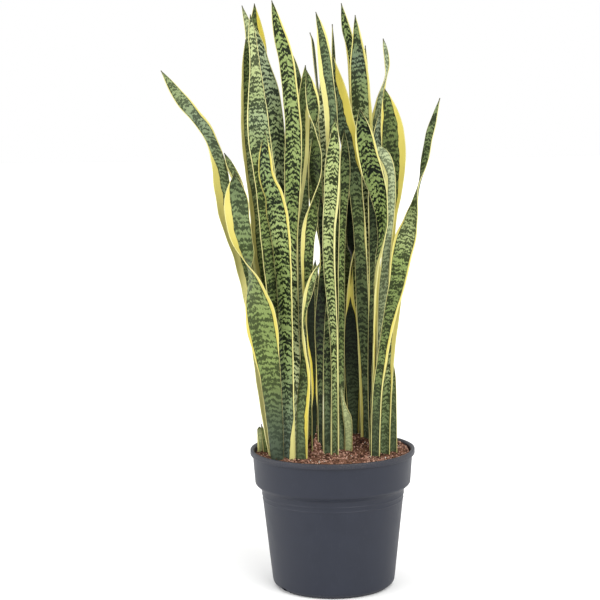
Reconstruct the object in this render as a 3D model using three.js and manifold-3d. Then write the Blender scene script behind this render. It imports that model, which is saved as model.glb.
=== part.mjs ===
// A potted laurentii snake plant: upright, twisting, channelled leaves that stand in a heap of
// soil in a round nursery pot. Millimetres, +Z up. The origin is the middle of the flat pad
// under the pot, on the floor. The plant's front looks along -Y, and +X is to its right.
import * as THREE from "three";
import Module from "manifold-3d";
import { mergeVertices } from "three/addons/utils/BufferGeometryUtils.js";

const wasm = await Module();
wasm.setup();

// The pot's outside, from its rolled lip down to its foot.
const RIM_RADIUS = 135;
const POT_HEIGHT = 228;
const LIP_HEIGHT = 9;
const LIP_ROUND = 2.4;
const COLLAR_TOP_RADIUS = 131;
const COLLAR_FOOT_RADIUS = 127.5;
const COLLAR_HEIGHT = 47;
const SHOULDER_HEIGHT = 9;
const BODY_TOP_RADIUS = 117.5;
const BODY_FOOT_RADIUS = 101;
const BASE_RADIUS = 91.5;
const CHAMFER_HEIGHT = 13;
const RING_DROPS = [17, 9];
const RING_PROUD = 0.7;
const RING_HALF_HEIGHT = 1.4;
const WALL = 2.6;
const POT_SIDES = 54;

// The pot's underside: a flat middle pad, a recess with drain holes, and a notched foot ring.
const PAD_RADIUS = 32;
const FOOT_RING_WIDTH = 8;
const RECESS_DEPTH = 4;
const FLOOR_LEVEL = 7;
const DRAIN_RADIUS = 6;
const DRAIN_RING_RADIUS = 58;
const DRAIN_COUNT = 8;
const NOTCH_ANGLES = [-145, -10, 35, 170];
const NOTCH_WIDTH = 12;
const NOTCH_HEIGHT = 8;
const NOTCH_DEPTH = 11;

// The soil: its level at the wall, and the heap round the plant.
const SOIL_LEVEL = 219;
const HEAP_HEIGHT = 24;
const HEAP_CENTRE = [10, 45];
const HEAP_REACH = [95, 42];
const SOIL_SIDES = 32;
const SOIL_RINGS = 6;
const FIT_GAP = 0.4;

// The leaves: the level of their feet below the soil, their thickness and their channel.
const FOOT_LEVEL = 204;
const MID_THICKNESS_AT_FOOT = 4.4;
const MID_THICKNESS_AT_TIP = 1.7;
const EDGE_THICKNESS = 0.9;
const CHANNEL_AT_FOOT = 2.2;
const CHANNEL_ABOVE = 0.7;
const CHANNEL_REACH = 0.4;
const TAPER_POWER = 2.2;
const TIP_WIDTH = 1.4;
const ACROSS = [-1, -0.45, 0.45, 1];
const STEP_LENGTH = 60;
const TIP_STATIONS = [0.75, 0.45, 0.2];
const MIN_STEP = 4;

// The whole clump leans a third of a degree to the right, about a point in its middle (x, z).
const CLUMP_LEAN = 0.35;
const LEAN_PIVOT = [-50, 472];

const LEAF_GREEN = new THREE.Color("#46683a");
const PALE_GREEN = new THREE.Color("#8fae5c");
const DARK_GREEN = new THREE.Color("#2f4a30");
const POT_GREY = new THREE.Color("#44474e");
const SOIL_BROWN = new THREE.Color("#74503f");

// One leaf a line: its name, its colour, the length of its tapering tip, and its rows. A row is
// a point of the midrib with the blade's width there and the way its inner face looks: x, y, z,
// width, and degrees from the front (0) towards the right (90).
const LEAVES = [
  ["leaf_arching_far_left", LEAF_GREEN, 72, [
    [-93.5, -16, FOOT_LEVEL, 16, 40], [-103.5, -13.5, 260.5, 19, 42],
    [-114.5, -11, 343.5, 25, 45], [-122.5, -10, 429, 31, 48], [-130.5, -13.5, 479, 34, 50],
    [-146.5, -15, 549.5, 36, 50], [-165.5, -11, 605.5, 39, 50], [-174.5, -6, 649.5, 38, 50],
    [-180, -1.5, 690, 33, 48], [-186.5, 3.5, 716, 26, 45], [-200.5, 13.5, 747, 27, 46],
    [-220.5, 20, 773, 25, 45], [-243, 23.5, 799.5, 26, 44], [-274, 29, 844.5, 21, 42],
  ]],
  ["leaf_short_left", DARK_GREEN, 34, [
    [-99.5, 23.5, FOOT_LEVEL, 12, 25], [-106.5, 17.5, 337.5, 14, 30],
    [-116.5, 12.5, 448.5, 15, 30], [-128.5, 11, 519, 14, 30], [-136.5, 10, 579, 15, 32],
    [-142.5, 8.5, 629.5, 16, 35], [-149.5, 8.5, 663.5, 16, 38], [-159.5, 7.5, 686.5, 14, 40],
    [-171, 6, 711, 12, 40],
  ]],
  ["leaf_broad_twisted_left", LEAF_GREEN, 55, [
    [-87, -53.5, FOOT_LEVEL, 19, 172], [-91, -56, 272, 26, 172], [-97, -60.5, 350, 33, 172],
    [-103, -63, 390, 41, 170], [-109, -65, 428, 52, 164], [-113, -65, 455, 55, 153],
    [-119, -65, 487, 52, 134], [-123.5, -64, 508, 50, 116], [-128, -63, 528, 49, 95],
    [-134, -61.5, 552, 48, 66], [-141.5, -60.5, 576, 45, 47], [-147, -59.5, 604, 41, 26],
    [-148.5, -59.5, 630, 40, 12], [-151, -59.5, 679, 36, 0],
  ]],
  ["leaf_pale_tip_left", PALE_GREEN, 110, [
    [-72.5, 41.5, FOOT_LEVEL, 14.5, 15], [-80.5, 44, 316.5, 18.5, 15], [-97, 46.5, 518, 22.5, 15],
    [-109, 44, 699.5, 24.5, 15], [-120, 41.5, 820.5, 24.5, 15], [-129, 41.5, 901, 22.5, 15],
    [-142, 41.5, 948.5, 24.5, 15],
  ]],
  ["leaf_gold_tip_left", DARK_GREEN, 90, [
    [-58.5, 69.5, FOOT_LEVEL, 15.5, 25], [-66.5, 72, 326, 20, 25], [-87, 72, 558, 24.5, 25],
    [-104, 69.5, 740, 26.5, 25], [-115, 69.5, 851, 28.5, 25], [-121, 69.5, 913.5, 32.5, 25],
    [-123, 69.5, 954, 28.5, 25],
  ]],
  ["leaf_bright_mottled_left", PALE_GREEN, 45, [
    [-76, -21, FOOT_LEVEL, 17.5, 25], [-80, -23.5, 319, 22, 25], [-88, -26, 459.5, 29, 25],
    [-96, -26, 559.5, 33, 25], [-103.5, -24.5, 660, 36.5, 25], [-113.5, -23.5, 735, 38.5, 25],
    [-116, -23.5, 775, 35, 25], [-117.5, -22.5, 815, 25.5, 25], [-119.5, -21, 855.5, 17, 25],
    [-122.5, -20, 890.5, 14, 25], [-125.5, -18.5, 929.5, 12, 25],
  ]],
  ["leaf_grey_chevron_left", LEAF_GREEN, 90, [
    [-62.5, 3.5, FOOT_LEVEL, 14, 10], [-70.5, 1, 338, 17.5, 10], [-79.5, 1, 559, 24, 13],
    [-85.5, 1, 720, 27.5, 15], [-90.5, 1, 775, 29, 15], [-97.5, 1, 815.5, 29, 15],
    [-108.5, 1, 850.5, 27, 17], [-114.5, 1, 885.5, 25.5, 20], [-124.5, 1, 920, 23.5, 20],
  ]],
  ["leaf_front_chevron_left", LEAF_GREEN, 62, [
    [-68, -41.5, FOOT_LEVEL, 20, 155], [-71, -41.5, 299.5, 23, 155], [-73, -43, 399.5, 26.5, 155],
    [-74, -43, 479.5, 26.5, 155], [-77.5, -43, 545, 32, 153], [-80.5, -41.5, 582, 36, 151],
    [-85.5, -40.5, 612, 40.5, 149], [-90, -40.5, 642, 36.5, 147], [-98, -40.5, 662, 32, 147],
    [-103, -40.5, 684, 29.5, 147], [-103, -40.5, 747, 20, 147],
  ]],
  ["leaf_dark_back_left", DARK_GREEN, 60, [
    [-84.5, 21, FOOT_LEVEL, 15.5, 25], [-90.5, 23.5, 337.5, 20, 25], [-98.5, 23.5, 448, 24.5, 25],
    [-107.5, 23.5, 518.5, 29.5, 25], [-115, 23.5, 569, 29.5, 25], [-119, 23.5, 609, 26.5, 25],
    [-122.5, 23.5, 647.5, 26.5, 25], [-127, 23.5, 689.5, 28, 25], [-131.5, 23.5, 740, 28, 25],
    [-132, 23.5, 800.5, 26.5, 25], [-131.5, 23.5, 845.5, 24.5, 25], [-135.5, 23.5, 893, 20, 25],
  ]],
  ["leaf_tall_left_centre", LEAF_GREEN, 100, [
    [-53, -26, FOOT_LEVEL, 15.5, 25], [-57, -23.5, 319, 19, 25], [-61.5, -21, 429, 21, 25],
    [-64, -18.5, 544.5, 22, 25], [-61.5, -17.5, 639.5, 27.5, 25], [-60, -16, 700, 30, 25],
    [-59, -16, 750, 29, 25], [-63, -16, 800, 27.5, 25], [-70, -16, 860.5, 26.5, 25],
    [-80.5, -16, 902.5, 26.5, 25], [-91.5, -16, 951.5, 26.5, 25],
  ]],
  ["leaf_grey_behind_left_centre", DARK_GREEN, 80, [
    [-44.5, 29, FOOT_LEVEL, 14.5, 35], [-46.5, 30, 327, 19, 35], [-45, 31.5, 458, 22, 35],
    [-44.5, 31.5, 559, 23, 35], [-46.5, 29, 679.5, 24, 33], [-51.5, 26.5, 780.5, 23, 30],
    [-56.5, 25, 840.5, 21, 25], [-65.5, 23.5, 880, 20, 25],
  ]],
  ["leaf_dark_folded_centre", DARK_GREEN, 60, [
    [-54.5, 18.5, FOOT_LEVEL, 14, 30], [-59.5, 16, 337.5, 16, 40], [-65.5, 15, 478.5, 20, 40],
    [-66.5, 13.5, 559, 21, 45], [-57.5, 13.5, 609.5, 24, 55], [-49.5, 11, 649.5, 24, 62],
    [-43, 8.5, 710, 24, 55], [-43, 8.5, 770, 23, 46], [-42, 8.5, 810.5, 22, 45],
    [-39, 7.5, 850.5, 20, 40],
  ]],
  ["leaf_corkscrew_centre", LEAF_GREEN, 60, [
    [-20, 8.5, FOOT_LEVEL, 12, 0], [-22, 6, 298, 13, 0], [-28, 3.5, 378.5, 14, 0],
    [-35, -4, 449, 17, 5], [-38, -12.5, 509, 19, 10], [-37, -16, 569.5, 23, 15],
    [-31, -16, 609.5, 28, 45], [-27, -16, 644.5, 23, 95], [-24, -16, 690, 24, 150],
    [-25, -16, 745, 24, 95], [-27, -16, 785, 22, 25], [-31, -15, 815, 22, 5],
    [-37, -13.5, 841.5, 20, 0],
  ]],
  ["leaf_short_front_curled", LEAF_GREEN, 60, [
    [-49, -47.5, FOOT_LEVEL, 18, 165], [-47, -47.5, 289.5, 20, 160], [-43, -47.5, 349.5, 22, 145],
    [-44, -47.5, 391.5, 20, 115], [-45, -47.5, 429.5, 19, 92], [-43, -47.5, 459.5, 18, 68],
    [-36, -46.5, 489.5, 18, 45], [-28, -45.5, 514.5, 17, 35], [-17, -43, 536.5, 15, 30],
  ]],
  ["leaf_edge_on_centre", DARK_GREEN, 50, [
    [-10, 44, FOOT_LEVEL, 12, 80], [-9, 44, 397.5, 14, 80], [-10, 44, 558.5, 14, 80],
    [-12, 41.5, 699.5, 12, 80], [-19, 39, 800.5, 12, 78], [-24, 36.5, 851, 11, 68],
    [-28, 34, 891, 12, 62], [-32, 34, 904, 9, 75],
  ]],
  ["leaf_cream_banded_centre", PALE_GREEN, 80, [
    [8, 39, FOOT_LEVEL, 12, -8], [11, 31.5, 347.5, 13, -8], [12, 18.5, 428, 14, -8],
    [11, 10, 519, 17.5, -8], [6, 7.5, 619.5, 20.5, -8], [4, 5, 720, 21, -3], [0.5, 1, 780, 21, 2],
    [-5, -1.5, 825.5, 22.5, 4], [-8.5, -1.5, 865.5, 21.5, 0], [-13.5, -1.5, 902.5, 20, -4],
    [-22, -1.5, 934, 18.5, -8],
  ]],
  ["leaf_mottled_behind_centre", LEAF_GREEN, 80, [
    [-7, -18, FOOT_LEVEL, 12, 5], [-6.5, -15.5, 298.5, 12.5, 5], [-6, -5.5, 388.5, 14, 5],
    [-5, 22, 468, 15, 5], [-3, 27, 548.5, 20, 5], [-3, 29.5, 639.5, 20, 5], [-6, 31, 710, 20, 5],
    [-10, 31, 770, 19, 5], [-14, 31, 837.5, 16, 5],
  ]],
  ["leaf_thin_dark_centre", DARK_GREEN, 60, [
    [4, 62, FOOT_LEVEL, 13.5, -25], [4, 62, 397, 15.5, -25], [4, 59, 598.5, 18, -25],
    [6, 51.5, 720, 16.5, -15], [7, 44, 800.5, 12, 10], [6.5, 41.5, 851, 8.5, 35],
    [4.5, 39, 917.5, 6, 45],
  ]],
  ["leaf_front_bright_centre", PALE_GREEN, 55, [
    [6, -18.5, FOOT_LEVEL, 11.5, -18], [6, -18.5, 298.5, 11.5, -18], [5, -18.5, 399, 12.5, -18],
    [2, -20, 459, 16, -18], [-2, -21, 529.5, 20, -18], [-2, -22.5, 589.5, 22, -18],
    [2, -22.5, 639.5, 25.5, -18], [4, -22.5, 690, 25.5, -18], [7, -21, 730, 19, -18],
    [8, -21, 765, 17, -18],
  ]],
  ["leaf_narrow_right_of_centre", LEAF_GREEN, 70, [
    [15.5, -4, FOOT_LEVEL, 10, 20], [16, -1.5, 298, 11, 25], [16, 1, 398.5, 12, 25],
    [17, 2.5, 458.5, 12, 25], [17, 3.5, 519, 12, 25], [18, 3.5, 559, 12, 25],
    [20, 3.5, 609.5, 13, 20], [23.5, 3.5, 669.5, 17, 10], [23, 3.5, 746, 18, 0],
  ]],
  ["leaf_golden_margin_centre", DARK_GREEN, 50, [
    [57.5, 34, FOOT_LEVEL, 14.5, -15], [55.5, 31.5, 327, 17.5, -15], [52.5, 26.5, 448, 21, -15],
    [50.5, 22.5, 518.5, 21, -15], [47.5, 18.5, 589, 21, -15], [41.5, 15, 649.5, 23, -15],
    [37, 11, 700, 28, -15], [30.5, 11, 735, 31, -15], [25, 12.5, 762, 28, -15],
    [22.5, 13.5, 787.5, 22, -15], [16, 13.5, 815.5, 18.5, -15], [10, 13.5, 840.5, 13.5, -15],
    [5, 13.5, 866.5, 8.5, -15],
  ]],
  ["leaf_tall_right_centre", LEAF_GREEN, 70, [
    [44.5, 79.5, FOOT_LEVEL, 13.5, -25], [44.5, 77, 396.5, 18, -25], [44.5, 72, 598.5, 20, -25],
    [42.5, 64.5, 750, 20, -25], [38.5, 55.5, 841, 18, -25], [33, 51.5, 887, 16, -25],
    [27, 49, 911.5, 18, -25], [19, 46.5, 951.5, 15, -25],
  ]],
  ["leaf_big_right_centre", LEAF_GREEN, 105, [
    [60.5, 56.5, FOOT_LEVEL, 18, -25], [60.5, 54, 326.5, 22.5, -25], [60.5, 51.5, 478, 29, -25],
    [59.5, 44, 619, 33.5, -25], [55.5, 36.5, 720, 35.5, -25], [52.5, 29, 770, 35.5, -25],
    [49.5, 23.5, 810.5, 35, -25], [47, 21, 850.5, 32, -25], [44.5, 18.5, 891, 27, -25],
    [41, 17.5, 930, 26, -25],
  ]],
  ["leaf_small_tip_right", DARK_GREEN, 50, [
    [64.5, 85, FOOT_LEVEL, 11, -25], [64.5, 82.5, 396, 13.5, -25], [62.5, 72, 598.5, 15.5, -25],
    [58.5, 59, 760, 14.5, -25], [57.5, 46.5, 841, 11, -25], [58, 44, 883, 9, -25],
  ]],
  ["leaf_front_chevron_right", LEAF_GREEN, 70, [
    [65, -11, FOOT_LEVEL, 14, -80], [67, -16, 298.5, 16, -85], [69, -21, 399, 18, -88],
    [71, -26, 479.5, 22, -88], [75, -31, 529.5, 26, -80], [82.5, -33, 574.5, 31, -70],
    [83, -35.5, 610, 35, -58], [77.5, -35.5, 645, 35, -42], [67, -35.5, 680, 34, -15],
    [59, -35.5, 710, 33, -8], [53.5, -35.5, 740, 32, -5], [47, -33, 780, 30, 0],
  ]],
  ["leaf_pale_crescent_right", PALE_GREEN, 30, [
    [79.5, 1, FOOT_LEVEL, 12.5, 195], [81.5, -1.5, 318, 14.5, 197], [83.5, -4, 418.5, 16, 200],
    [86.5, -6, 499, 17.5, 203], [92.5, -7.5, 569.5, 16.5, 205], [96.5, -8.5, 619.5, 17.5, 205],
    [97.5, -10, 649.5, 17.5, 205], [95, -11, 680, 20, 205], [87, -12.5, 705, 20, 205],
    [70, -13.5, 724, 15.5, 205],
  ]],
  ["leaf_broad_gold_right", LEAF_GREEN, 75, [
    [88.5, 34, FOOT_LEVEL, 14, -10], [90.5, 29, 347.5, 16, -10], [91.5, 23.5, 478.5, 18, -10],
    [94, 20, 559, 21, -8], [96, 18.5, 607, 25, -5], [99.5, 17.5, 641.5, 32, -3],
    [102.5, 16, 679.5, 37, 0], [103, 15, 710, 39, 0], [100.5, 15, 745, 37.5, 0],
    [97, 15, 770, 35, 0], [88.5, 15, 812.5, 34, 0],
  ]],
  ["leaf_wavy_thin_right", DARK_GREEN, 30, [
    [77, 74.5, FOOT_LEVEL, 12, 0], [76, 72, 416.5, 14, 0], [74.5, 67, 598.5, 14, 0],
    [71.5, 59, 699.5, 13, 0], [73, 53, 755, 15, 0], [80, 48, 785.5, 14, 10],
    [85, 45, 808.5, 14, 50], [91.5, 44, 833.5, 12, 75], [93, 44, 853, 13, 50],
    [91, 44, 873, 12, 45], [87, 44, 894, 10, 40],
  ]],
  ["leaf_leaning_far_right", LEAF_GREEN, 60, [
    [71, -33, FOOT_LEVEL, 13, -10], [72, -33, 269, 14, -10], [75, -33, 329, 15, -10],
    [82.5, -34.5, 379.5, 16, -10], [89, -35.5, 419.5, 18, -10], [98, -35.5, 464.5, 22, -10],
    [107, -35.5, 504.5, 27, -10], [113, -35.5, 544.5, 33, -12], [120, -34.5, 574.5, 35, -18],
    [128, -33, 599.5, 31, -45], [132.5, -33, 619, 29, -62], [136.5, -32, 637, 26, -76],
    [141.5, -31, 660, 22, -92], [149.5, -29.5, 690, 22, -66], [158, -27, 735, 20, -57],
    [166, -24.5, 765, 17, -55], [174.5, -23.5, 796, 10, -50],
  ]],
  ["leaf_dark_gold_edge_right", DARK_GREEN, 60, [
    [36.5, 64.5, FOOT_LEVEL, 18, 20], [37.5, 62, 265.5, 20, 10], [36.5, 54, 336.5, 26, 0],
    [34.5, 46.5, 397, 25, 0], [33.5, 41.5, 437.5, 20, 10], [32, 39, 473, 14, 30],
    [33, 37.5, 508.5, 14, 65], [35.5, 37.5, 539.5, 14, 95], [34.5, 37.5, 558.5, 17, 150],
    [34.5, 37.5, 599, 16, 160], [36.5, 39, 699.5, 14, 165],
  ]],
  ["leaf_dark_barred_centre", DARK_GREEN, 50, [
    [-18, -16, FOOT_LEVEL, 8, 12], [-18, -21, 299, 9, 12], [-18.5, -21, 379, 12.5, 12],
    [-18, -13.5, 439, 16.5, 12], [-13, -5, 499, 15.5, 12], [-11, 1, 554, 13.5, 12],
    [-14, 3.5, 599.5, 14.5, 12], [-16, 3.5, 641.5, 12.5, 12],
  ]],
  ["leaf_leaning_dark_centre", DARK_GREEN, 50, [
    [-30, -18.5, FOOT_LEVEL, 10.5, 55], [-28, -27, 319, 12, 45], [-29.5, -31, 369, 14.5, 45],
    [-33, -32, 409.5, 17.5, 45], [-33, -32, 459.5, 16.5, 40], [-31, -31, 524.5, 14.5, 35],
  ]],
  ["leaf_deep_left_of_centre", DARK_GREEN, 45, [
    [-36, 48, FOOT_LEVEL, 13, 5], [-36, 50, 330, 14, 5], [-32, 52, 420, 15, 5],
    [-27.5, 52, 480, 15, 5], [-25.5, 52, 533, 13, 5],
  ]],
  ["leaf_deep_centre", DARK_GREEN, 70, [
    [-2, 78, FOOT_LEVEL, 13, 0], [-3, 78, 400, 15, 0], [-6, 76, 520, 15, -5],
    [-12, 74, 580, 17, -8], [-19, 71, 625, 24, -10], [-21, 68, 680, 26, -12],
    [-24, 64, 745, 20, -12], [-29, 60, 800, 15, -10],
  ]],
  ["leaf_deep_right_of_centre", DARK_GREEN, 70, [
    [26, 88, FOOT_LEVEL, 13, 10], [27, 88, 400, 15, 10], [27, 86, 500, 17, 8],
    [28, 84, 580, 18, 5], [32, 80, 680, 16, 5], [36, 76, 740, 14, 5],
  ]],
  ["leaf_dark_behind_right", DARK_GREEN, 60, [
    [70.5, 18.5, FOOT_LEVEL, 14, -3], [67.5, 18.5, 327.5, 14, -3], [69.5, 18.5, 448.5, 16, -3],
    [72.5, 19, 559, 20, -3], [72.5, 20, 639.5, 22, -3], [77.5, 21, 720, 20, -3],
    [82.5, 25, 780, 16, -3],
  ]],
  ["leaf_zigzag_base_right", LEAF_GREEN, 60, [
    [87.5, -18.5, FOOT_LEVEL, 16.5, -25], [88.5, -18.5, 268.5, 17.5, -25],
    [91.5, -17.5, 328.5, 16.5, -25], [97.5, -13.5, 399, 15.5, -25], [103.5, -8.5, 449, 17.5, -25],
    [109.5, -2.5, 509, 20, -25], [118.5, 2.5, 587.5, 17.5, -25],
  ]],
  ["leaf_outer_narrow_right", DARK_GREEN, 30, [
    [102.5, -6, FOOT_LEVEL, 12, -25], [102.5, -6, 278, 10, -25], [102.5, -5, 328.5, 8, -25],
    [101.5, -4, 367.5, 6.5, -25],
  ]],
  ["shoot_curled_centre", PALE_GREEN, 12, [
    [28, -5, FOOT_LEVEL, 11, 0], [28, -6, 248, 12, 0], [27.5, -8.5, 265, 13, 0],
    [25.5, -11, 281.5, 13.5, 0], [22.5, -12.5, 292.5, 9, 0], [19.5, -13, 304.5, 6, 0],
    [17.5, -13.5, 317.5, 4.5, 0], [15.5, -13.5, 333.5, 4, 0],
  ]],
  ["shoot_blunt_left", PALE_GREEN, 6, [
    [-116.5, 8.5, FOOT_LEVEL, 11, 0], [-118.5, 8.5, 261.5, 8, 0],
  ]],
  ["shoot_dark_left", DARK_GREEN, 25, [
    [-107.5, 3.5, FOOT_LEVEL, 7, 0], [-110.5, 3.5, 242.5, 7, 0], [-115.5, 3.5, 267, 6, 0],
  ]],
];

const plant = new THREE.Group();

function addMesh(name, geometry, color, roughness) {
  const material = new THREE.MeshStandardMaterial({ color, roughness, metalness: 0 });
  const mesh = new THREE.Mesh(geometry, material);
  mesh.name = name;
  plant.add(mesh);
}

// A closed geometry as a solid that can be joined and cut.
function solidOf(geometry) {
  const bare = geometry.clone();
  for (const name of Object.keys(bare.attributes))
    if (name !== "position") bare.deleteAttribute(name);
  const merged = mergeVertices(bare, 1e-3);
  return new wasm.Manifold(
    new wasm.Mesh({
      numProp: 3,
      vertProperties: merged.attributes.position.array,
      triVerts: new Uint32Array(merged.index.array),
    }),
  );
}

function geometryOf(solid) {
  const made = solid.getMesh();
  const geometry = new THREE.BufferGeometry();
  geometry.setAttribute("position", new THREE.BufferAttribute(made.vertProperties, 3));
  geometry.setIndex(new THREE.BufferAttribute(made.triVerts, 1));
  return geometry;
}

const smooth = (t) => t * t * (3 - 2 * t);
const clamp = (t) => Math.min(1, Math.max(0, t));
const mix = (a, b, t) => a + (b - a) * t;
const radians = THREE.MathUtils.degToRad;

// A leaf's rows turned with the leaning clump.
function leaning(rows) {
  const cos = Math.cos(radians(CLUMP_LEAN));
  const sin = Math.sin(radians(CLUMP_LEAN));
  return rows.map(([x, y, z, width, facing]) => {
    const dx = x - LEAN_PIVOT[0];
    const dz = z - LEAN_PIVOT[1];
    return [
      LEAN_PIVOT[0] + dx * cos + dz * sin,
      y,
      LEAN_PIVOT[1] + dz * cos - dx * sin,
      width,
      facing,
    ];
  });
}

// The length of the midrib from its foot to each row.
function rowLengths(rows) {
  const lengths = [0];
  for (let i = 1; i < rows.length; i++) {
    const step = Math.hypot(...[0, 1, 2].map((k) => rows[i][k] - rows[i - 1][k]));
    lengths.push(lengths[i - 1] + step);
  }
  return lengths;
}

// The row's five numbers at a length s: a cubic between the rows on either side, whose slope
// at each row is that of the chord between the row's neighbours.
function rowAt(rows, lengths, s) {
  const last = rows.length - 1;
  let i = 0;
  while (i < last - 1 && s > lengths[i + 1]) i++;
  const span = lengths[i + 1] - lengths[i];
  const t = (s - lengths[i]) / span;
  const slope = (j, k) => {
    const before = Math.max(0, j - 1);
    const after = Math.min(last, j + 1);
    return (rows[after][k] - rows[before][k]) / (lengths[after] - lengths[before]);
  };
  return rows[i].map((value, k) => {
    const next = rows[i + 1][k];
    const bend = smooth(t);
    const rise = t * (1 - t) * (1 - t) * span * slope(i, k);
    const fall = t * t * (t - 1) * span * slope(i + 1, k);
    return mix(value, next, bend) + rise + fall;
  });
}

// The lengths where the blade's cross-sections stand: at each row, at even steps between rows
// that are far apart, and closer together over the tapering tip.
function bladeStations(lengths, taper) {
  const stations = [0];
  for (let i = 1; i < lengths.length; i++) {
    const span = lengths[i] - lengths[i - 1];
    const parts = Math.ceil(span / STEP_LENGTH);
    for (let k = 1; k <= parts; k++) stations.push(lengths[i - 1] + (span * k) / parts);
  }
  const total = lengths.at(-1);
  for (const share of TIP_STATIONS) {
    const s = total - taper * share;
    if (stations.every((t) => Math.abs(t - s) > MIN_STEP)) stations.push(s);
  }
  return stations.sort((a, b) => a - b);
}

// A blade: at each step along its midrib an arc across it, hollow on the inner face, with the
// blade's thickness laid on both sides of the arc. The widths close over the tip's length.
function bladeGeometry(rows, taper, extra = 0) {
  const lengths = rowLengths(rows);
  const total = lengths.at(-1);
  const stations = bladeStations(lengths, taper);
  const steps = stations.length - 1;
  const count = ACROSS.length;
  const at = (s) => rowAt(rows, lengths, s);
  const positions = [];
  for (let i = 0; i <= steps; i++) {
    const s = stations[i];
    const share = s / total;
    const row = at(s);
    const point = new THREE.Vector3(...row);
    const ahead = new THREE.Vector3(...at(Math.min(total, s + 2)));
    const behind = new THREE.Vector3(...at(Math.max(0, s - 2)));
    const along = ahead.sub(behind).normalize();
    const facing = radians(row[4]);
    const out = new THREE.Vector3(Math.sin(facing), -Math.cos(facing), 0);
    out.addScaledVector(along, -out.dot(along)).normalize();
    const right = new THREE.Vector3().crossVectors(along, out);
    const closing = 1 - (1 - clamp((total - s) / taper)) ** TAPER_POWER;
    const width = Math.max(TIP_WIDTH, row[3] * closing) + 2 * extra;
    const channel = mix(CHANNEL_AT_FOOT, CHANNEL_ABOVE, smooth(clamp(share / CHANNEL_REACH)));
    const radius = width / 2 / Math.sin(channel / 2);
    const middle = mix(MID_THICKNESS_AT_FOOT, MID_THICKNESS_AT_TIP, share);
    for (const side of [1, -1])
      for (const u of ACROSS) {
        const angle = (u * channel) / 2;
        const thick = mix(middle, EDGE_THICKNESS, u * u) / 2 + extra;
        const reach = radius - side * thick;
        const depth = radius * (1 + Math.cos(channel / 2)) / 2 - reach * Math.cos(angle);
        const p = point
          .clone()
          .addScaledVector(right, reach * Math.sin(angle))
          .addScaledVector(out, depth);
        if (i === 0) p.z -= extra;
        positions.push(p.x, p.y, p.z);
      }
  }
  const index = [];
  const id = (i, face, k) => i * 2 * count + face * count + k;
  const quad = (a, b, c, d) => index.push(a, b, c, a, c, d);
  for (let i = 0; i < steps; i++) {
    for (let k = 0; k < count - 1; k++) {
      quad(id(i, 0, k), id(i, 0, k + 1), id(i + 1, 0, k + 1), id(i + 1, 0, k));
      index.push(id(i, 1, k), id(i + 1, 1, k + 1), id(i, 1, k + 1));
      index.push(id(i, 1, k), id(i + 1, 1, k), id(i + 1, 1, k + 1));
    }
    quad(id(i, 1, 0), id(i, 0, 0), id(i + 1, 0, 0), id(i + 1, 1, 0));
    quad(id(i, 0, count - 1), id(i, 1, count - 1), id(i + 1, 1, count - 1), id(i + 1, 0, count - 1));
  }
  for (let k = 0; k < count - 1; k++) {
    quad(id(0, 0, k + 1), id(0, 0, k), id(0, 1, k), id(0, 1, k + 1));
    quad(id(steps, 0, k), id(steps, 0, k + 1), id(steps, 1, k + 1), id(steps, 1, k));
  }
  const geometry = new THREE.BufferGeometry();
  geometry.setAttribute("position", new THREE.Float32BufferAttribute(positions, 3));
  geometry.setIndex(index);
  return geometry;
}

function lathe(profile, sides) {
  const points = profile.map(([r, z]) => new THREE.Vector2(r, z));
  return new THREE.LatheGeometry(points, sides).rotateX(Math.PI / 2);
}

// The heights where the collar meets the lip and the shoulder, and where the shoulder ends.
const COLLAR_TOP = POT_HEIGHT - LIP_HEIGHT;
const COLLAR_FOOT = COLLAR_TOP - COLLAR_HEIGHT;
const BODY_TOP = COLLAR_FOOT - SHOULDER_HEIGHT;

// The radius of the pot's tapering body at a height.
function bodyRadius(z) {
  const share = (z - CHAMFER_HEIGHT) / (BODY_TOP - CHAMFER_HEIGHT);
  return mix(BODY_FOOT_RADIUS, BODY_TOP_RADIUS, share);
}

// The pot's outline from its foot up to the lip, with two low rings under the shoulder.
function potOuterProfile() {
  const foot = BODY_FOOT_RADIUS - BASE_RADIUS;
  const ring = (drop) => {
    const z = BODY_TOP - drop;
    return [
      [bodyRadius(z), z - RING_HALF_HEIGHT],
      [bodyRadius(z) + RING_PROUD, z],
      [bodyRadius(z), z + RING_HALF_HEIGHT],
    ];
  };
  return [
    [BASE_RADIUS, 0],
    [BASE_RADIUS + foot * 0.55, CHAMFER_HEIGHT * 0.22],
    [BASE_RADIUS + foot * 0.87, CHAMFER_HEIGHT * 0.58],
    [BODY_FOOT_RADIUS, CHAMFER_HEIGHT],
    ...RING_DROPS.flatMap(ring),
    [BODY_TOP_RADIUS, BODY_TOP],
    [COLLAR_FOOT_RADIUS - 1.5, COLLAR_FOOT - 1.5],
    [COLLAR_FOOT_RADIUS, COLLAR_FOOT],
    [COLLAR_TOP_RADIUS, COLLAR_TOP],
    [RIM_RADIUS - LIP_ROUND, COLLAR_TOP],
    [RIM_RADIUS, COLLAR_TOP + LIP_ROUND],
    [RIM_RADIUS, POT_HEIGHT - LIP_ROUND],
    [RIM_RADIUS - LIP_ROUND, POT_HEIGHT],
  ];
}

// The inner wall, from the rim down to the floor, moved inwards by a gap.
function potInnerProfile(gap) {
  return [
    [COLLAR_TOP_RADIUS - WALL - gap, POT_HEIGHT - LIP_ROUND],
    [COLLAR_FOOT_RADIUS - WALL - gap, COLLAR_FOOT],
    [BODY_TOP_RADIUS - WALL - gap, BODY_TOP],
    [BODY_FOOT_RADIUS - WALL - gap, CHAMFER_HEIGHT],
    [BASE_RADIUS - WALL - gap, FLOOR_LEVEL + gap],
    [0, FLOOR_LEVEL + gap],
  ];
}

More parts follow.
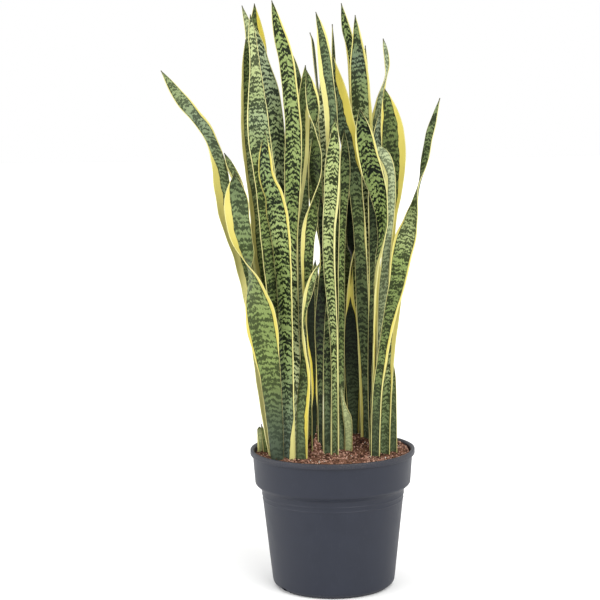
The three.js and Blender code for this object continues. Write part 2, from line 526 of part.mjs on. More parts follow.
function addPot() {
  const footInner = BASE_RADIUS - FOOT_RING_WIDTH;
  const profile = [
    [0, 0],
    [PAD_RADIUS, 0],
    [PAD_RADIUS, RECESS_DEPTH],
    [footInner, RECESS_DEPTH],
    [footInner, 0],
    ...potOuterProfile(),
    [COLLAR_TOP_RADIUS - WALL + LIP_ROUND, POT_HEIGHT],
    ...potInnerProfile(0),
  ];
  let pot = solidOf(lathe(profile, POT_SIDES));
  for (let i = 0; i < DRAIN_COUNT; i++) {
    const angle = (2 * Math.PI * (i + 0.5)) / DRAIN_COUNT;
    const hole = new THREE.CylinderGeometry(DRAIN_RADIUS, DRAIN_RADIUS, 3 * FLOOR_LEVEL, 14)
      .rotateX(Math.PI / 2)
      .translate(DRAIN_RING_RADIUS * Math.cos(angle), DRAIN_RING_RADIUS * Math.sin(angle), 0);
    pot = pot.subtract(solidOf(hole));
  }
  for (const degrees of NOTCH_ANGLES) {
    const notch = new THREE.BoxGeometry(2 * NOTCH_DEPTH, NOTCH_WIDTH, 2 * NOTCH_HEIGHT)
      .translate(BODY_FOOT_RADIUS, 0, 0)
      .rotateZ(radians(degrees));
    pot = pot.subtract(solidOf(notch));
  }
  addMesh("pot", geometryOf(pot), POT_GREY, 0.5);
}

// The soil's level over a point: flat at the wall, with a heap that fades from its middle.
function soilLevel(x, y) {
  const dx = (x - HEAP_CENTRE[0]) / HEAP_REACH[0];
  const dy = (y - HEAP_CENTRE[1]) / HEAP_REACH[1];
  return SOIL_LEVEL + HEAP_HEIGHT * Math.exp(-(dx * dx + dy * dy));
}

function soilGeometry() {
  const wall = potInnerProfile(FIT_GAP).slice(1);
  const edge = COLLAR_TOP_RADIUS - WALL - 3 * FIT_GAP;
  const rings = [];
  for (let i = 0; i <= SOIL_RINGS; i++) rings.push([(edge * i) / SOIL_RINGS, SOIL_LEVEL]);
  const geometry = lathe([...rings, ...wall].reverse(), SOIL_SIDES);
  const position = geometry.attributes.position;
  for (let i = 0; i < position.count; i++)
    if (position.getZ(i) > COLLAR_FOOT + 1)
      position.setZ(i, soilLevel(position.getX(i), position.getY(i)));
  return geometry;
}

addPot();
let soil = solidOf(soilGeometry());
for (const [name, color, taper, uprightRows] of LEAVES) {
  const rows = leaning(uprightRows);
  addMesh(name, bladeGeometry(rows, taper), color, 0.45);
  soil = soil.subtract(solidOf(bladeGeometry(rows, taper, FIT_GAP)));
}
addMesh("soil", geometryOf(soil), SOIL_BROWN, 0.95);

export default plant;
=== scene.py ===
# %% [markdown]
# # A laurentii snake plant in its nursery pot
#
# The subject is a living plant in a moulded plastic pot. Tall, tough leaves stand nearly upright
# in a heap of brown soil, each with a barred green face and two yellow margins, and each with a
# slow twist of its own. This lesson builds the pot, the soil and every leaf as surfaces worked
# out with numpy, on top of the solid model that carries the real sizes.
#
# Everything is in metres. The origin is the middle of the pot's underside, +Z is up, and the
# side that faces -Y is the front. Plant sizes are typed in millimetres and scaled once.

# %% Load the solid model and keep its box
import bpy
import numpy as np
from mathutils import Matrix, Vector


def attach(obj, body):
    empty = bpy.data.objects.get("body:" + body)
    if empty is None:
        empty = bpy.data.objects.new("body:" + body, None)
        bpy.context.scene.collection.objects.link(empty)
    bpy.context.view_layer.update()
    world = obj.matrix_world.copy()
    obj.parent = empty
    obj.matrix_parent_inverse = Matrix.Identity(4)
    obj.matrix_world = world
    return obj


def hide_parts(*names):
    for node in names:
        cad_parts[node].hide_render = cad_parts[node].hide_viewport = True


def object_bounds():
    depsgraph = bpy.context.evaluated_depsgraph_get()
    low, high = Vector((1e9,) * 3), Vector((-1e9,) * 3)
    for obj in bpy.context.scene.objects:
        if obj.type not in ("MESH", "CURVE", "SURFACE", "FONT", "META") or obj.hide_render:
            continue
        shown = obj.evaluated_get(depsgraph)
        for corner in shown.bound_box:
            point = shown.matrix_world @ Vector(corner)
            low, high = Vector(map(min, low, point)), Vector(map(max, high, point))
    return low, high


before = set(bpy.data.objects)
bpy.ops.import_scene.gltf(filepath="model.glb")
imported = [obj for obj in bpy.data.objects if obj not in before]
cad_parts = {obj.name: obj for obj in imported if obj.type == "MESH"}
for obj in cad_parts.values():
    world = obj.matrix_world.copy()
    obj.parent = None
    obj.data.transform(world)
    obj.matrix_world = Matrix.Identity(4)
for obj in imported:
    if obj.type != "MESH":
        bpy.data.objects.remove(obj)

MM = 0.001
solid_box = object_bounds()
solid_low, solid_high = (np.array(corner) for corner in solid_box)
print("solid model, mm:", np.round((solid_high - solid_low) / MM, 1))

# %% [markdown]
# ## From numbers to meshes
#
# A leaf, a pot and a heap of soil are all stacks of closed rings: a grid of points, one ring
# a row. Blender could build them with curves or subdivision, but a grid computed with numpy
# keeps the same formula as the solid leaf, and also tells every point how far it is from the
# leaf's edges, which the yellow margins need. One function turns any grid into a mesh.

# %% Grids become meshes
def smooth(t):
    """Rises from 0 to 1 with level ends: three times t squared less twice t cubed."""
    return t * t * (3 - 2 * t)


def mix(first, second, share):
    """The value a share of the way from first to second."""
    return first + (second - first) * share


def unit(vectors):
    """Each vector divided by its own length."""
    return vectors / np.linalg.norm(vectors, axis=-1, keepdims=True)


def grid_faces(rows, columns):
    """The quads of a stack of closed rings, numbered ring by ring: each joins a point, its
    right neighbour and the same two in the next ring."""
    row, column = np.mgrid[:rows - 1, :columns]
    here = row * columns + column
    after = row * columns + (column + 1) % columns
    return np.stack([here, after, after + columns, here + columns], axis=-1).reshape(-1, 4)


def grid_uv(rows, columns):
    """For each quad's four corners, the share of the way round its ring and along the stack."""
    row, column = np.mgrid[:rows - 1, :columns]
    corners = [np.stack([(column + i) / columns, (row + j) / (rows - 1)], axis=-1)
               for i, j in ((0, 0), (1, 0), (1, 1), (0, 1))]
    return np.stack(corners, axis=-2).reshape(-1, 2)


def mesh_piece(name, points, faces, uv=None, values=None, flat=False):
    """A mesh object from points in metres and faces as lists of point numbers. values maps a
    name to one number or one triple a point, which the piece's material can read."""
    mesh = bpy.data.meshes.new(name)
    mesh.from_pydata(points.reshape(-1, 3).tolist(), [], [list(map(int, f)) for f in faces])
    if uv is not None:
        layer = mesh.uv_layers.new(name="UVMap")
        layer.data.foreach_set("uv", uv.astype(np.float32).ravel())
    for key, value in (values or {}).items():
        triple = value.ndim > 1
        kind, field = ("FLOAT_VECTOR", "vector") if triple else ("FLOAT", "value")
        attribute = mesh.attributes.new(key, kind, "POINT")
        attribute.data.foreach_set(field, value.astype(np.float32).ravel())
    if flat:
        mesh.shade_flat()
    else:
        mesh.shade_smooth()
    mesh.validate()
    piece = bpy.data.objects.new(name, mesh)
    bpy.context.collection.objects.link(piece)
    return piece


def finished(piece, material, slot, *nodes):
    """Gives a piece its material, sets it on the standing plant and lets it stand for nodes."""
    piece.data.materials.append(material)
    if nodes:
        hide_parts(*nodes)
    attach(piece, "root")


print("quads between three rings of four points:", len(grid_faces(3, 4)))

# %% [markdown]
# ## A small kit for finishes
#
# Every finish is a graph of nodes. One helper adds a node with its settings and links, and one
# function turns the familiar hex colours into the linear numbers that the renderer works in.

# %% Colours and nodes
def linear(hex_colour):
    """sRGB hex to linear: a part of 0.04045 or less is divided by 12.92, and any other is
    raised to 2.4 after 0.055 is added and the sum is divided by 1.055."""
    parts = np.array([int(hex_colour[i:i + 2], 16) for i in (1, 3, 5)]) / 255
    low = parts / 12.92
    high = ((parts + 0.055) / 1.055) ** 2.4
    return (*np.where(parts <= 0.04045, low, high), 1.0)


def new_finish(name):
    """A material with an empty graph but for its shader and output."""
    material = bpy.data.materials.new(name)
    material.use_nodes = True
    return material, material.node_tree, material.node_tree.nodes["Principled BSDF"]


def feed(tree, node, **inputs):
    """Gives each named input of a node a plain value or another node's output. An input's name
    is written with _ for a space, or as i0, i1 ..."""
    for key, value in inputs.items():
        numbered = key[0] == "i" and key[1:].isdigit()
        socket = node.inputs[int(key[1:]) if numbered else key.replace("_", " ")]
        if isinstance(value, bpy.types.NodeSocket):
            tree.links.new(value, socket)
        else:
            socket.default_value = value


def add(tree, kind, settings=None, **inputs):
    """Adds a node. settings are the node's own options, and inputs are fed to it."""
    node = tree.nodes.new("ShaderNode" + kind)
    for key, value in (settings or {}).items():
        setattr(node, key, value)
    feed(tree, node, **inputs)
    return node


def math(tree, operation, *values):
    """A Math node's result: the operation on one, two or three numbers or outputs."""
    inputs = {f"i{n}": value for n, value in enumerate(values)}
    return add(tree, "Math", {"operation": operation}, **inputs).outputs[0]


def times(tree, first, second):
    """The product of two numbers or outputs."""
    return math(tree, "MULTIPLY", first, second)


def plus(tree, base, amount, weight):
    """The base plus weight times the amount."""
    return math(tree, "MULTIPLY_ADD", amount, weight, base)


def blend(tree, share, first, second):
    """The mix of two colours: first where share is 0 and second where it is 1."""
    node = add(tree, "Mix", {"data_type": "RGBA"}, i0=share, i6=first, i7=second)
    return node.outputs[2]


def tinted(tree, colour, share, most, hex_colour):
    """A colour with another over it, whose cover is share times the most it may be."""
    return blend(tree, times(tree, share, most), colour, linear(hex_colour))


def step(tree, value, low, high):
    """Rises smoothly from 0 to 1 while value goes from low to high."""
    node = add(tree, "MapRange", {"interpolation_type": "SMOOTHSTEP"},
               Value=value, From_Min=low, From_Max=high)
    return node.outputs[0]


def three_way(tree, share, shades):
    """A colour that passes through three hex shades as share goes from 0 through a half to 1."""
    ramp = add(tree, "ValToRGB", Fac=share)
    ramp.color_ramp.elements[0].color = linear(shades[0])
    ramp.color_ramp.elements[1].color = linear(shades[2])
    ramp.color_ramp.elements.new(0.5).color = linear(shades[1])
    return ramp.outputs[0]


def speckle(tree, place, size_mm, detail):
    """Noise from 0 to 1 at a place in metres, whose spots have that size in millimetres."""
    return add(tree, "TexNoise", Vector=place, Scale=1 / (size_mm * MM), Detail=detail).outputs[0]


def noise(tree, x, y, z, detail):
    """Smooth noise from 0 to 1 at a point given by three numbers or outputs."""
    point = add(tree, "CombineXYZ", X=x, Y=y, Z=z).outputs[0]
    return add(tree, "TexNoise", Vector=point, Scale=1.0, Detail=detail).outputs[0]


print("middle grey in linear light:", round(float(linear("#808080")[0]), 3))

# %% [markdown]
# ## The camera
#
# The plant was seen from about two and a half metres away, a little above its middle, with a
# long lens. The camera looks along +Y, turned right by its yaw and down by its pitch, and then
# rolls very slightly.

# %% Set up the camera
CAMERA_PLACE = (0.0, -2.5, 0.741)
CAMERA_YAW = np.radians(-1.15)
CAMERA_PITCH = np.radians(6.14)
CAMERA_ROLL = np.radians(-0.74)
FOCAL_PIXELS = 1545.1
FRAME_PIXELS = 600
SENSOR = 36.0


def standing(place, back, roll=0.0):
    """The matrix of a camera or light at a place. Its +Z axis points back from what it faces,
    its +X axis is level, and both +X and +Y then roll about the line of sight."""
    level = unit(np.cross((0, 0, 1), back))
    up = np.cross(back, level)
    matrix = np.eye(4)
    matrix[:3, 0] = np.cos(roll) * level + np.sin(roll) * up
    matrix[:3, 1] = np.cos(roll) * up - np.sin(roll) * level
    matrix[:3, 2] = back
    matrix[:3, 3] = place
    return matrix.T.tolist()


camera_data = bpy.data.cameras.new("camera")
camera_data.sensor_width = SENSOR
camera_data.lens = FOCAL_PIXELS / FRAME_PIXELS * SENSOR
camera = bpy.data.objects.new("camera", camera_data)
camera_back = np.array([-np.sin(CAMERA_YAW) * np.cos(CAMERA_PITCH),
                        -np.cos(CAMERA_YAW) * np.cos(CAMERA_PITCH), np.sin(CAMERA_PITCH)])
camera.matrix_world = standing(CAMERA_PLACE, camera_back, CAMERA_ROLL)
bpy.context.collection.objects.link(camera)
bpy.context.scene.camera = camera
print("lens, mm:", round(camera_data.lens, 1))

# %% [markdown]
# ## The studio
#
# A plant for sale is shown on white in very even light. A white world does most of the work and
# darkens only what leaves hide from it. One broad soft light from the front right and a weaker
# one from the left give the leaves a little shape. The floor is plain and nearly white.

# %% Set up the light and the floor
WORLD_STRENGTH = 1.0
LIGHTS = {
    "soft_key_right": dict(place=(1.7, -2.3, 2.3), spread=50, strength=2.2),
    "soft_fill_left": dict(place=(-2.6, -1.2, 1.3), spread=60, strength=2.0),
}
LIGHT_AIM = np.array([0.0, 0.0, 0.45])

world = bpy.data.worlds.new("white_studio")
bpy.context.scene.world = world
world.use_nodes = True
feed(world.node_tree, world.node_tree.nodes["Background"], Color=(1, 1, 1, 1),
     Strength=WORLD_STRENGTH)
bpy.context.scene.view_settings.view_transform = "Standard"

for name, light in LIGHTS.items():
    data = bpy.data.lights.new(name, "SUN")
    data.angle = np.radians(light["spread"])
    data.energy = light["strength"]
    lamp = bpy.data.objects.new(name, data)
    lamp.matrix_world = standing(light["place"], unit(np.array(light["place"]) - LIGHT_AIM))
    bpy.context.collection.objects.link(lamp)

floor_finish, floor_tree, floor_shader = new_finish("painted_white_floor")
feed(floor_tree, floor_shader, Base_Color=linear("#f7f7f6"), Roughness=0.9)
FLOOR_REACH = 40.0
floor_points = np.array([(-1, -1, 0), (1, -1, 0), (1, 1, 0), (-1, 1, 0)]) * FLOOR_REACH
floor = mesh_piece("floor", floor_points, [(0, 1, 2, 3)])
floor.data.materials.append(floor_finish)
print("lights:", *LIGHTS)

# %% [markdown]
# ## The leaves
#
# A snake plant's leaf is thick and stiff, hollowed like a gutter near its foot and flatter
# above, and ends in a short point. It grows from the ground without a stalk and turns slowly as
# it rises. Sculpting forty of them would be slow and hard to adjust, so each is described by a
# few rows up its midrib: a place, a width, and the way its inner face looks. A second short
# list gives the markings at some heights: the width of the margin along each edge, how light
# the green is, which also paints shade on leaves deep in the clump and light on shaded parts,
# how much blue-grey painted sheen lies on it, and how creamy its margins are, which on some
# shaded margins is raised as painted light.

# %% The shared shape of a blade
MID_THICKNESS = (4.4, 1.7)
EDGE_THICKNESS = 0.9
CHANNEL = (2.2, 0.7)
CHANNEL_REACH = 0.4
TAPER_POWER = 2.2
TIP_WIDTH = 1.4
ROW_SPACING = 5.0
TIP_ROWS = 22
TIP_CROWDING = 1.4
ACROSS_POINTS = 17
TANGENT_STEP = 2.0
CLUMP_LEAN = np.radians(0.35)
LEAN_PIVOT = np.array([-50, 472])
RIPPLE_HEIGHT = 0.5
RIPPLE_LENGTH = 47.0
RIPPLE_LEAF_WIDTH = 30


def along_rows(rows, lengths, s):
    """The rows' five numbers at lengths s of the midrib: a cubic between the rows on either
    side, whose slope at each row is that of the chord between the row's neighbours."""
    last = len(rows) - 1
    number = np.arange(last + 1)
    before, after = np.maximum(number - 1, 0), np.minimum(number + 1, last)
    slopes = (rows[after] - rows[before]) / (lengths[after] - lengths[before])[:, None]
    i = np.clip(np.searchsorted(lengths, s, side="right") - 1, 0, last - 1)
    span = (lengths[i + 1] - lengths[i])[:, None]
    t = (s - lengths[i])[:, None] / span
    rise = t * (1 - t) ** 2 * span * slopes[i]
    fall = t * t * (t - 1) * span * slopes[i + 1]
    return mix(rows[i], rows[i + 1], smooth(t)) + rise + fall


def leaning(rows):
    """Rows whose x and z are turned about the pivot by the lean of the whole clump."""
    cos, sin = np.cos(CLUMP_LEAN), np.sin(CLUMP_LEAN)
    leant = rows.copy()
    leant[:, [0, 2]] = (rows[:, [0, 2]] - LEAN_PIVOT) @ np.array([(cos, -sin), (sin, cos)])
    leant[:, [0, 2]] += LEAN_PIVOT
    return leant


def blade_stations(total, taper):
    """Lengths along the midrib: evenly spaced up to the taper, then closing up to the tip."""
    body = np.arange(0, total - taper, ROW_SPACING)
    tip = total - taper * np.linspace(1, 0, TIP_ROWS) ** TIP_CROWDING
    return np.concatenate([body, tip])


def blade(rows, taper, phase):
    """A blade's closed cross-sections, one a row of the grid. The width closes over the tip as
    1 less a power of the share gone of the taper. Across, the face is an arc whose
    angle falls from the foot's to the upper part's. Half of the thickness, which is the middle's
    at u = 0 and the edge's at u = 1, with u squared between, is laid on each side of the arc.
    Toward its edges the blade also rises and falls a little, as the cube of u."""
    rows = leaning(rows)
    lengths = np.concatenate([[0], np.cumsum(np.linalg.norm(np.diff(rows[:, :3], axis=0), axis=1))])
    total = lengths[-1]
    s = blade_stations(total, taper)
    row = along_rows(rows, lengths, s)
    ahead = along_rows(rows, lengths, np.minimum(total, s + TANGENT_STEP))[:, :3]
    behind = along_rows(rows, lengths, np.maximum(0, s - TANGENT_STEP))[:, :3]
    along = unit(ahead - behind)
    facing = np.radians(row[:, 4])
    out = np.stack([np.sin(facing), -np.cos(facing), np.zeros_like(facing)], axis=1)
    out = unit(out - along * np.sum(out * along, axis=1, keepdims=True))
    right = np.cross(along, out)

    share = s / total
    closing = 1 - (1 - np.clip((total - s) / taper, 0, 1)) ** TAPER_POWER
    width = np.maximum(TIP_WIDTH, row[:, 3] * closing)
    channel = mix(*CHANNEL, smooth(np.clip(share / CHANNEL_REACH, 0, 1)))
    radius = width / 2 / np.sin(channel / 2)
    middle = mix(*MID_THICKNESS, share)

    u = np.sin(np.linspace(-np.pi / 2, np.pi / 2, ACROSS_POINTS))
    u = np.concatenate([u, u[::-1]])
    side = np.repeat([1, -1], ACROSS_POINTS)
    angle = channel[:, None] * u / 2
    thick = mix(middle[:, None], EDGE_THICKNESS, u * u) / 2
    reach = radius[:, None] - side * thick
    sideways = reach * np.sin(angle)
    outward = (radius * (1 + np.cos(channel / 2)) / 2)[:, None] - reach * np.cos(angle)
    wave = np.sin(2 * np.pi * s[:, None] / RIPPLE_LENGTH + phase + np.sign(u))
    outward = outward + RIPPLE_HEIGHT * (width / RIPPLE_LEAF_WIDTH)[:, None] * np.abs(u) ** 3 * wave
    points = (row[:, None, :3] + right[:, None] * sideways[..., None]
              + out[:, None] * outward[..., None])
    return points, s, width, np.broadcast_to(u, sideways.shape)


print("cross-sections in a leaf 700 mm long:", len(blade_stations(700, 70)))

# %% [markdown]
# ## The plant, leaf by leaf
#
# Each leaf is named for what makes it easy to find. Its taper is the length over which the tip
# closes. Its bars are given by their spacing and how far they bend into a chevron, in
# millimetres, and by how strong they are, from 0 to 1. A row is x, y, z, width and facing, in
# millimetres and degrees, where 0 faces the front and 90 faces right, and the first row is
# 204 mm up, in the soil. A marking is a height, the widths of the left and right margins as
# one looks at the inner face, in millimetres, then lightness, painted sheen and creaminess in
# percent. The lightness also holds painted shade and painted light, and the creaminess in places
# painted light.
# Numbers left out at the end of a row or a marking are those of the one before it.

# %% How a leaf is written down
LEAVES = {}


def filled(rows):
    """The rows as an array. Numbers left out at a row's end are those of the row before."""
    full = [rows[0]]
    for row in rows[1:]:
        full.append(row + full[-1][len(row):])
    return np.array(full, float)


def leaf(name, slot, taper, bars, rows, marks):
    """Files one leaf under its name, with percent as shares from 0 to 1."""
    marks = filled(marks)
    marks[:, 3:] /= 100
    LEAVES[name] = dict(slot=slot, taper=taper, bars=bars, rows=filled(rows), marks=marks)


print("a row and a shorter one:", filled([(0, 0, 204, 16, 40), (0, 0, 250, 18)]).tolist())

# %% [markdown]
# ## The leaves on the left
#
# Nine leaves make the left side of the clump. The outermost arches away, one turns half round
# as it rises, and one shows its back. A drawn outline would be quicker to make, but it would be
# right from the front only: written as a place, a width and a facing, each leaf is whole.

# %% List the leaves on the left
leaf("leaf_arching_far_left", "leaf_green", 72, (5.5, 4, 0.6), [
    (-93.5, -16, 204, 16, 40), (-103.5, -13.5, 260.5, 19, 42), (-114.5, -11, 343.5, 25, 45),
    (-122.5, -10, 429, 31, 48), (-130.5, -13.5, 479, 34, 50), (-146.5, -15, 549.5, 36),
    (-165.5, -11, 605.5, 39), (-174.5, -6, 649.5, 38), (-180, -1.5, 690, 33, 48),
    (-186.5, 3.5, 716, 26, 45), (-200.5, 13.5, 747, 27, 46), (-220.5, 20, 773, 25, 45),
    (-243, 23.5, 799.5, 26, 44), (-274, 29, 844.5, 21, 42)
], [
    (204, 14, 1, 50, 20, 90), (440, 15, 1, 50, 30), (600, 17, 1, 50, 35, 60),
    (650, 19, 1, 55, 40, 45), (685, 15, 1), (708, 4, 1, 60, 50, 60), (730, 1, 2, 55, 60),
    (768, 0.4, 3.5, 60, 70, 50), (800, 1, 1.5, 60, 40, 60), (844, 1, 0.8, 60, 30)
])
leaf("leaf_short_left", "leaf_dark", 34, (5.5, 3, 0.5), [
    (-99.5, 23.5, 204, 12, 25), (-106.5, 17.5, 337.5, 14, 30), (-116.5, 12.5, 448.5, 15),
    (-128.5, 11, 519, 14), (-136.5, 10, 579, 15, 32), (-142.5, 8.5, 629.5, 16, 35),
    (-150.5, 8.5, 663.5, 18, 38), (-160.5, 7.5, 686.5, 16, 40), (-171, 6, 711, 12)
], [
    (204, 3, 3, 30, 20, 50), (560, 5, 4, 60, 20, 90), (640, 7, 4, 70, 20, 100),
    (690, 3, 1.5, 70, 20, 80), (711, 1, 0.8, 50, 20, 60)
])
leaf("leaf_broad_twisted_left", "leaf_green", 55, (7, 6, 0.62), [
    (-87, -53.5, 204, 19, 172), (-91, -56, 272, 26), (-97, -60.5, 350, 33), (-103, -63, 390, 41, 170),
    (-109, -65, 428, 52, 164), (-113, -65, 455, 55, 153), (-119, -65, 487, 52, 134),
    (-123.5, -64, 508, 50, 116), (-128, -63, 528, 49, 95), (-134, -61.5, 552, 48, 66),
    (-141.5, -60.5, 576, 45, 47), (-147, -59.5, 604, 41, 26), (-148.5, -59.5, 630, 40, 12),
    (-151, -59.5, 679, 36, 0)
], [
    (204, 0.3, 1, 20, 50, 40), (290, 0.3, 1.2, 25, 30), (335, 0.3, 0.4, 35, 10, 30),
    (384, 0.5, 2.5, 50), (430, 5, 6, 45), (480, 5, 3.5, 55, 10, 40), (528, 4, 2, 50, 20, 50),
    (570, 14, 0.6, 50, 30, 35), (624, 12, 1.2, 45, 40, 50), (665, 4, 0.8, 30, 40, 40),
    (679, 1, 0.5, 25, 40, 30)
])
leaf("leaf_pale_tip_left", "leaf_pale", 110, (5.5, 3, 0.5), [
    (-72.5, 41.5, 204, 14.5, 15), (-80.5, 44, 316.5, 18.5), (-97, 46.5, 518, 22.5),
    (-109, 44, 699.5, 24.5), (-120, 41.5, 820.5), (-129, 41.5, 901, 22.5), (-142, 41.5, 948.5, 24.5)
], [
    (204, 0.6, 0.6, 50, 20, 50), (800, 0.6, 0.6, 80, 30, 70), (947, 0.8, 0.8, 85, 20)
])
leaf("leaf_gold_tip_left", "leaf_dark", 90, (5.5, 4, 0.6), [
    (-58.5, 69.5, 204, 15.5, 25), (-66.5, 72, 326, 20), (-87, 72, 558, 24.5), (-104, 69.5, 740, 26.5),
    (-115, 69.5, 851, 28.5), (-121, 69.5, 913.5, 32.5), (-123, 69.5, 954, 28.5)
], [
    (204, 0.6, 5, 30, 10, 20), (880, 0.8, 9, 30, 10, 10), (952, 0.8, 7)
])
leaf("leaf_bright_mottled_left", "leaf_pale", 45, (5.5, 3, 0.8), [
    (-76, -21, 204, 17.5, 25), (-80, -23.5, 319, 22), (-88, -26, 459.5, 29), (-96, -26, 559.5, 33),
    (-103.5, -24.5, 660, 36.5), (-113.5, -23.5, 735, 38.5), (-116, -23.5, 775, 35),
    (-117.5, -22.5, 815, 25.5), (-119.5, -21, 855.5, 17), (-122.5, -20, 890.5, 14),
    (-125.5, -18.5, 929.5, 12)
], [
    (204, 0.8, 0.8, 40, 10, 60), (480, 2, 0.8, 35, 10, 50), (528, 0.8, 2, 40, 10, 60),
    (600, 0.8, 0.8, 45, 10, 80), (672, 0.8, 2, 50, 10, 70), (735, 1, 1, 60, 30, 90),
    (768, 2, 1.2, 65, 50), (800, 0.8, 0.8, 65, 20), (860, 0.8, 0.8, 80, 10), (929, 0.6, 0.8, 85)
])
leaf("leaf_grey_chevron_left", "leaf_green", 90, (6.5, 8, 0.9), [
    (-62.5, 3.5, 204, 14, 10), (-70.5, 1, 338, 17.5), (-79.5, 1, 559, 24, 13),
    (-85.5, 1, 720, 27.5, 15), (-90.5, 1, 775, 29), (-97.5, 1, 815.5), (-108.5, 1, 850.5, 27, 17),
    (-114.5, 1, 885.5, 25.5, 20), (-124.5, 1, 920, 23.5)
], [
    (204, 0.6, 0.5, 60, 20, 60), (660, 1, 0.8, 75, 30, 70), (690, 1, 0.8, 70, 30, 80),
    (720, 2, 0.5, 55, 30, 90), (768, 1.5, 0.6, 60), (816, 0.8, 1, 65, 60), (864, 0.8, 0.9, 75),
    (919, 0.5, 0.8, 70, 30)
])
leaf("leaf_front_chevron_left", "leaf_green", 62, (6.5, 7, 0.95), [
    (-68, -41.5, 204, 20, 155), (-71, -41.5, 299.5, 23), (-73, -43, 399.5, 26.5), (-74, -43, 479.5),
    (-77.5, -43, 545, 32, 153), (-80.5, -41.5, 582, 36, 151), (-85.5, -40.5, 612, 40.5, 149),
    (-90, -40.5, 642, 36.5, 147), (-98, -40.5, 662, 32), (-103, -40.5, 684, 29.5),
    (-103, -40.5, 747, 20)
], [
    (204, 9, 0.4, 40, 60, 80), (250, 7, 0.4, 40, 50), (285, 1.8, 0.4, 45, 40, 70),
    (384, 1.6, 0.6, 50, 20), (472, 1.8, 0.6, 50, 10, 60), (537, 2, 0.7, 45, 10, 50),
    (585, 3.5, 0.8, 60, 10, 40), (634, 4, 2.5, 50, 20), (690, 3.5, 3.4, 50, 30, 30),
    (720, 2.5, 2, 45), (735, 1, 0.8, 40, 30, 40)
])
leaf("leaf_dark_back_left", "leaf_dark", 60, (5.5, 4, 0.6), [
    (-84.5, 21, 204, 15.5, 25), (-90.5, 23.5, 337.5, 20), (-98.5, 23.5, 448, 24.5),
    (-108.5, 23.5, 518.5, 31.5), (-115.5, 23.5, 569, 31), (-119, 23.5, 609, 26.5),
    (-122.5, 23.5, 647.5), (-127, 23.5, 689.5, 28), (-131.5, 23.5, 740), (-132, 23.5, 800.5, 26.5),
    (-131.5, 23.5, 845.5, 24.5), (-135.5, 23.5, 893, 20)
], [
    (204, 3, 0.3, 35, 10, 40), (480, 6, 0.3, 45, 10, 70), (576, 8, 0.3, 60, 10, 60),
    (624, 7.5, 0.3, 65), (672, 4.5, 0.3, 70, 20), (720, 5.5, 0.3), (768, 5, 1.4, 60),
    (816, 4, 0.3, 50, 20, 70), (864, 2, 0.3, 40, 20, 50), (892, 1.2, 0.4)
])
print(len(LEAVES), "leaves so far")

# %% [markdown]
# ## The leaves in the centre
#
# The clump is densest in its middle, where leaves push past each other and fold as they go.
# Each one's depth is chosen so that it clears its neighbours as the seen overlaps ask, with
# more rows where it bends or turns and few where it is straight.

# %% List the leaves in the centre
leaf("leaf_tall_left_centre", "leaf_green", 100, (6.5, 9, 0.95), [
    (-53, -26, 204, 15.5, 25), (-57, -23.5, 319, 19), (-61.5, -21, 429, 21), (-64, -18.5, 544.5, 22),
    (-61.5, -17.5, 639.5, 27.5), (-60, -16, 700, 30), (-59, -16, 750, 29), (-63, -16, 800, 27.5),
    (-70, -16, 860.5, 26.5), (-80.5, -16, 902.5), (-91.5, -16, 951.5)
], [
    (204, 0.5, 0.8, 100, 10, 70), (330, 0.5, 0.8), (430, 0.5, 0.8, 80), (528, 0.4, 0.8, 60, 10, 60),
    (590, 0.8, 2, 50), (640, 1, 1.5, 45), (700, 0.3, 0.8, 55, 10, 70), (760, 0.3, 2.5, 55, 10, 60),
    (816, 0.3, 2.5), (912, 0.5, 2.6, 50, 10, 50), (951, 0.4, 1.5, 40)
])
leaf("leaf_grey_behind_left_centre", "leaf_dark", 80, (5.5, 4, 0.6), [
    (-44.5, 29, 204, 14.5, 35), (-46.5, 30, 327, 19), (-46, 31.5, 458, 24), (-45.5, 31.5, 559, 25),
    (-46.5, 29, 679.5, 24, 33), (-51.5, 26.5, 780.5, 23, 30), (-56.5, 25, 840.5, 21, 25),
    (-65.5, 23.5, 880, 20)
], [
    (204, 0.8, 1.5, 30, 30, 60), (432, 2.5, 3, 80, 30, 90), (540, 3, 3), (576, 2, 1.5, 70),
    (640, 0.6, 1, 50, 30, 70), (879, 0.8, 0.8, 30, 50, 80)
])
leaf("leaf_dark_folded_centre", "leaf_dark", 60, (5.5, 4, 0.6), [
    (-54.5, 18.5, 204, 14, 30), (-59.5, 16, 337.5, 16, 40), (-65.5, 15, 478.5, 20),
    (-66.5, 13.5, 559, 21, 45), (-57.5, 13.5, 609.5, 24, 55), (-49.5, 11, 649.5, 24, 62),
    (-43, 8.5, 710, 24, 55), (-43, 8.5, 770, 23, 46), (-42, 8.5, 810.5, 22, 45),
    (-39, 7.5, 850.5, 20, 40)
], [
    (204, 1.2, 6, 30, 20, 50), (600, 2, 9, 40, 20, 80), (672, 2, 10, 45, 20, 90),
    (720, 1, 8, 45, 20, 80), (775, 0.8, 7, 40, 20, 70), (810, 0.8, 1.5, 40, 20, 50), (850, 0.8, 1)
])
leaf("leaf_corkscrew_centre", "leaf_green", 60, (5.5, 4, 0.8), [
    (-20, 8.5, 204, 12, 0), (-22, 6, 298, 13), (-28, 3.5, 378.5, 14), (-35, -4, 449, 17, 5),
    (-38, -12.5, 509, 19, 10), (-37, -16, 569.5, 23, 15), (-31, -16, 609.5, 28, 45),
    (-27, -16, 644.5, 23, 95), (-24, -16, 690, 24, 150), (-25, -16, 745, 24, 95),
    (-27, -16, 785, 22, 25), (-31, -15, 815, 22, 5), (-37, -13.5, 841.5, 20, 0)
], [
    (204, 1, 0.5, 20, 10, 40), (440, 2.2, 0.5, 25), (480, 4, 0.6, 30), (528, 4.5, 0.5, 30, 10, 50),
    (576, 7.5, 0.5, 45, 10, 70), (612, 5, 0.5, 40), (650, 1, 0.5, 10), (690, 0.6, 0.6),
    (720, 0.6, 3, 20, 10, 80), (768, 1, 0.8, 30, 20, 70), (816, 0.5, 4, 35, 20, 60),
    (841, 0.5, 1, 30)
])
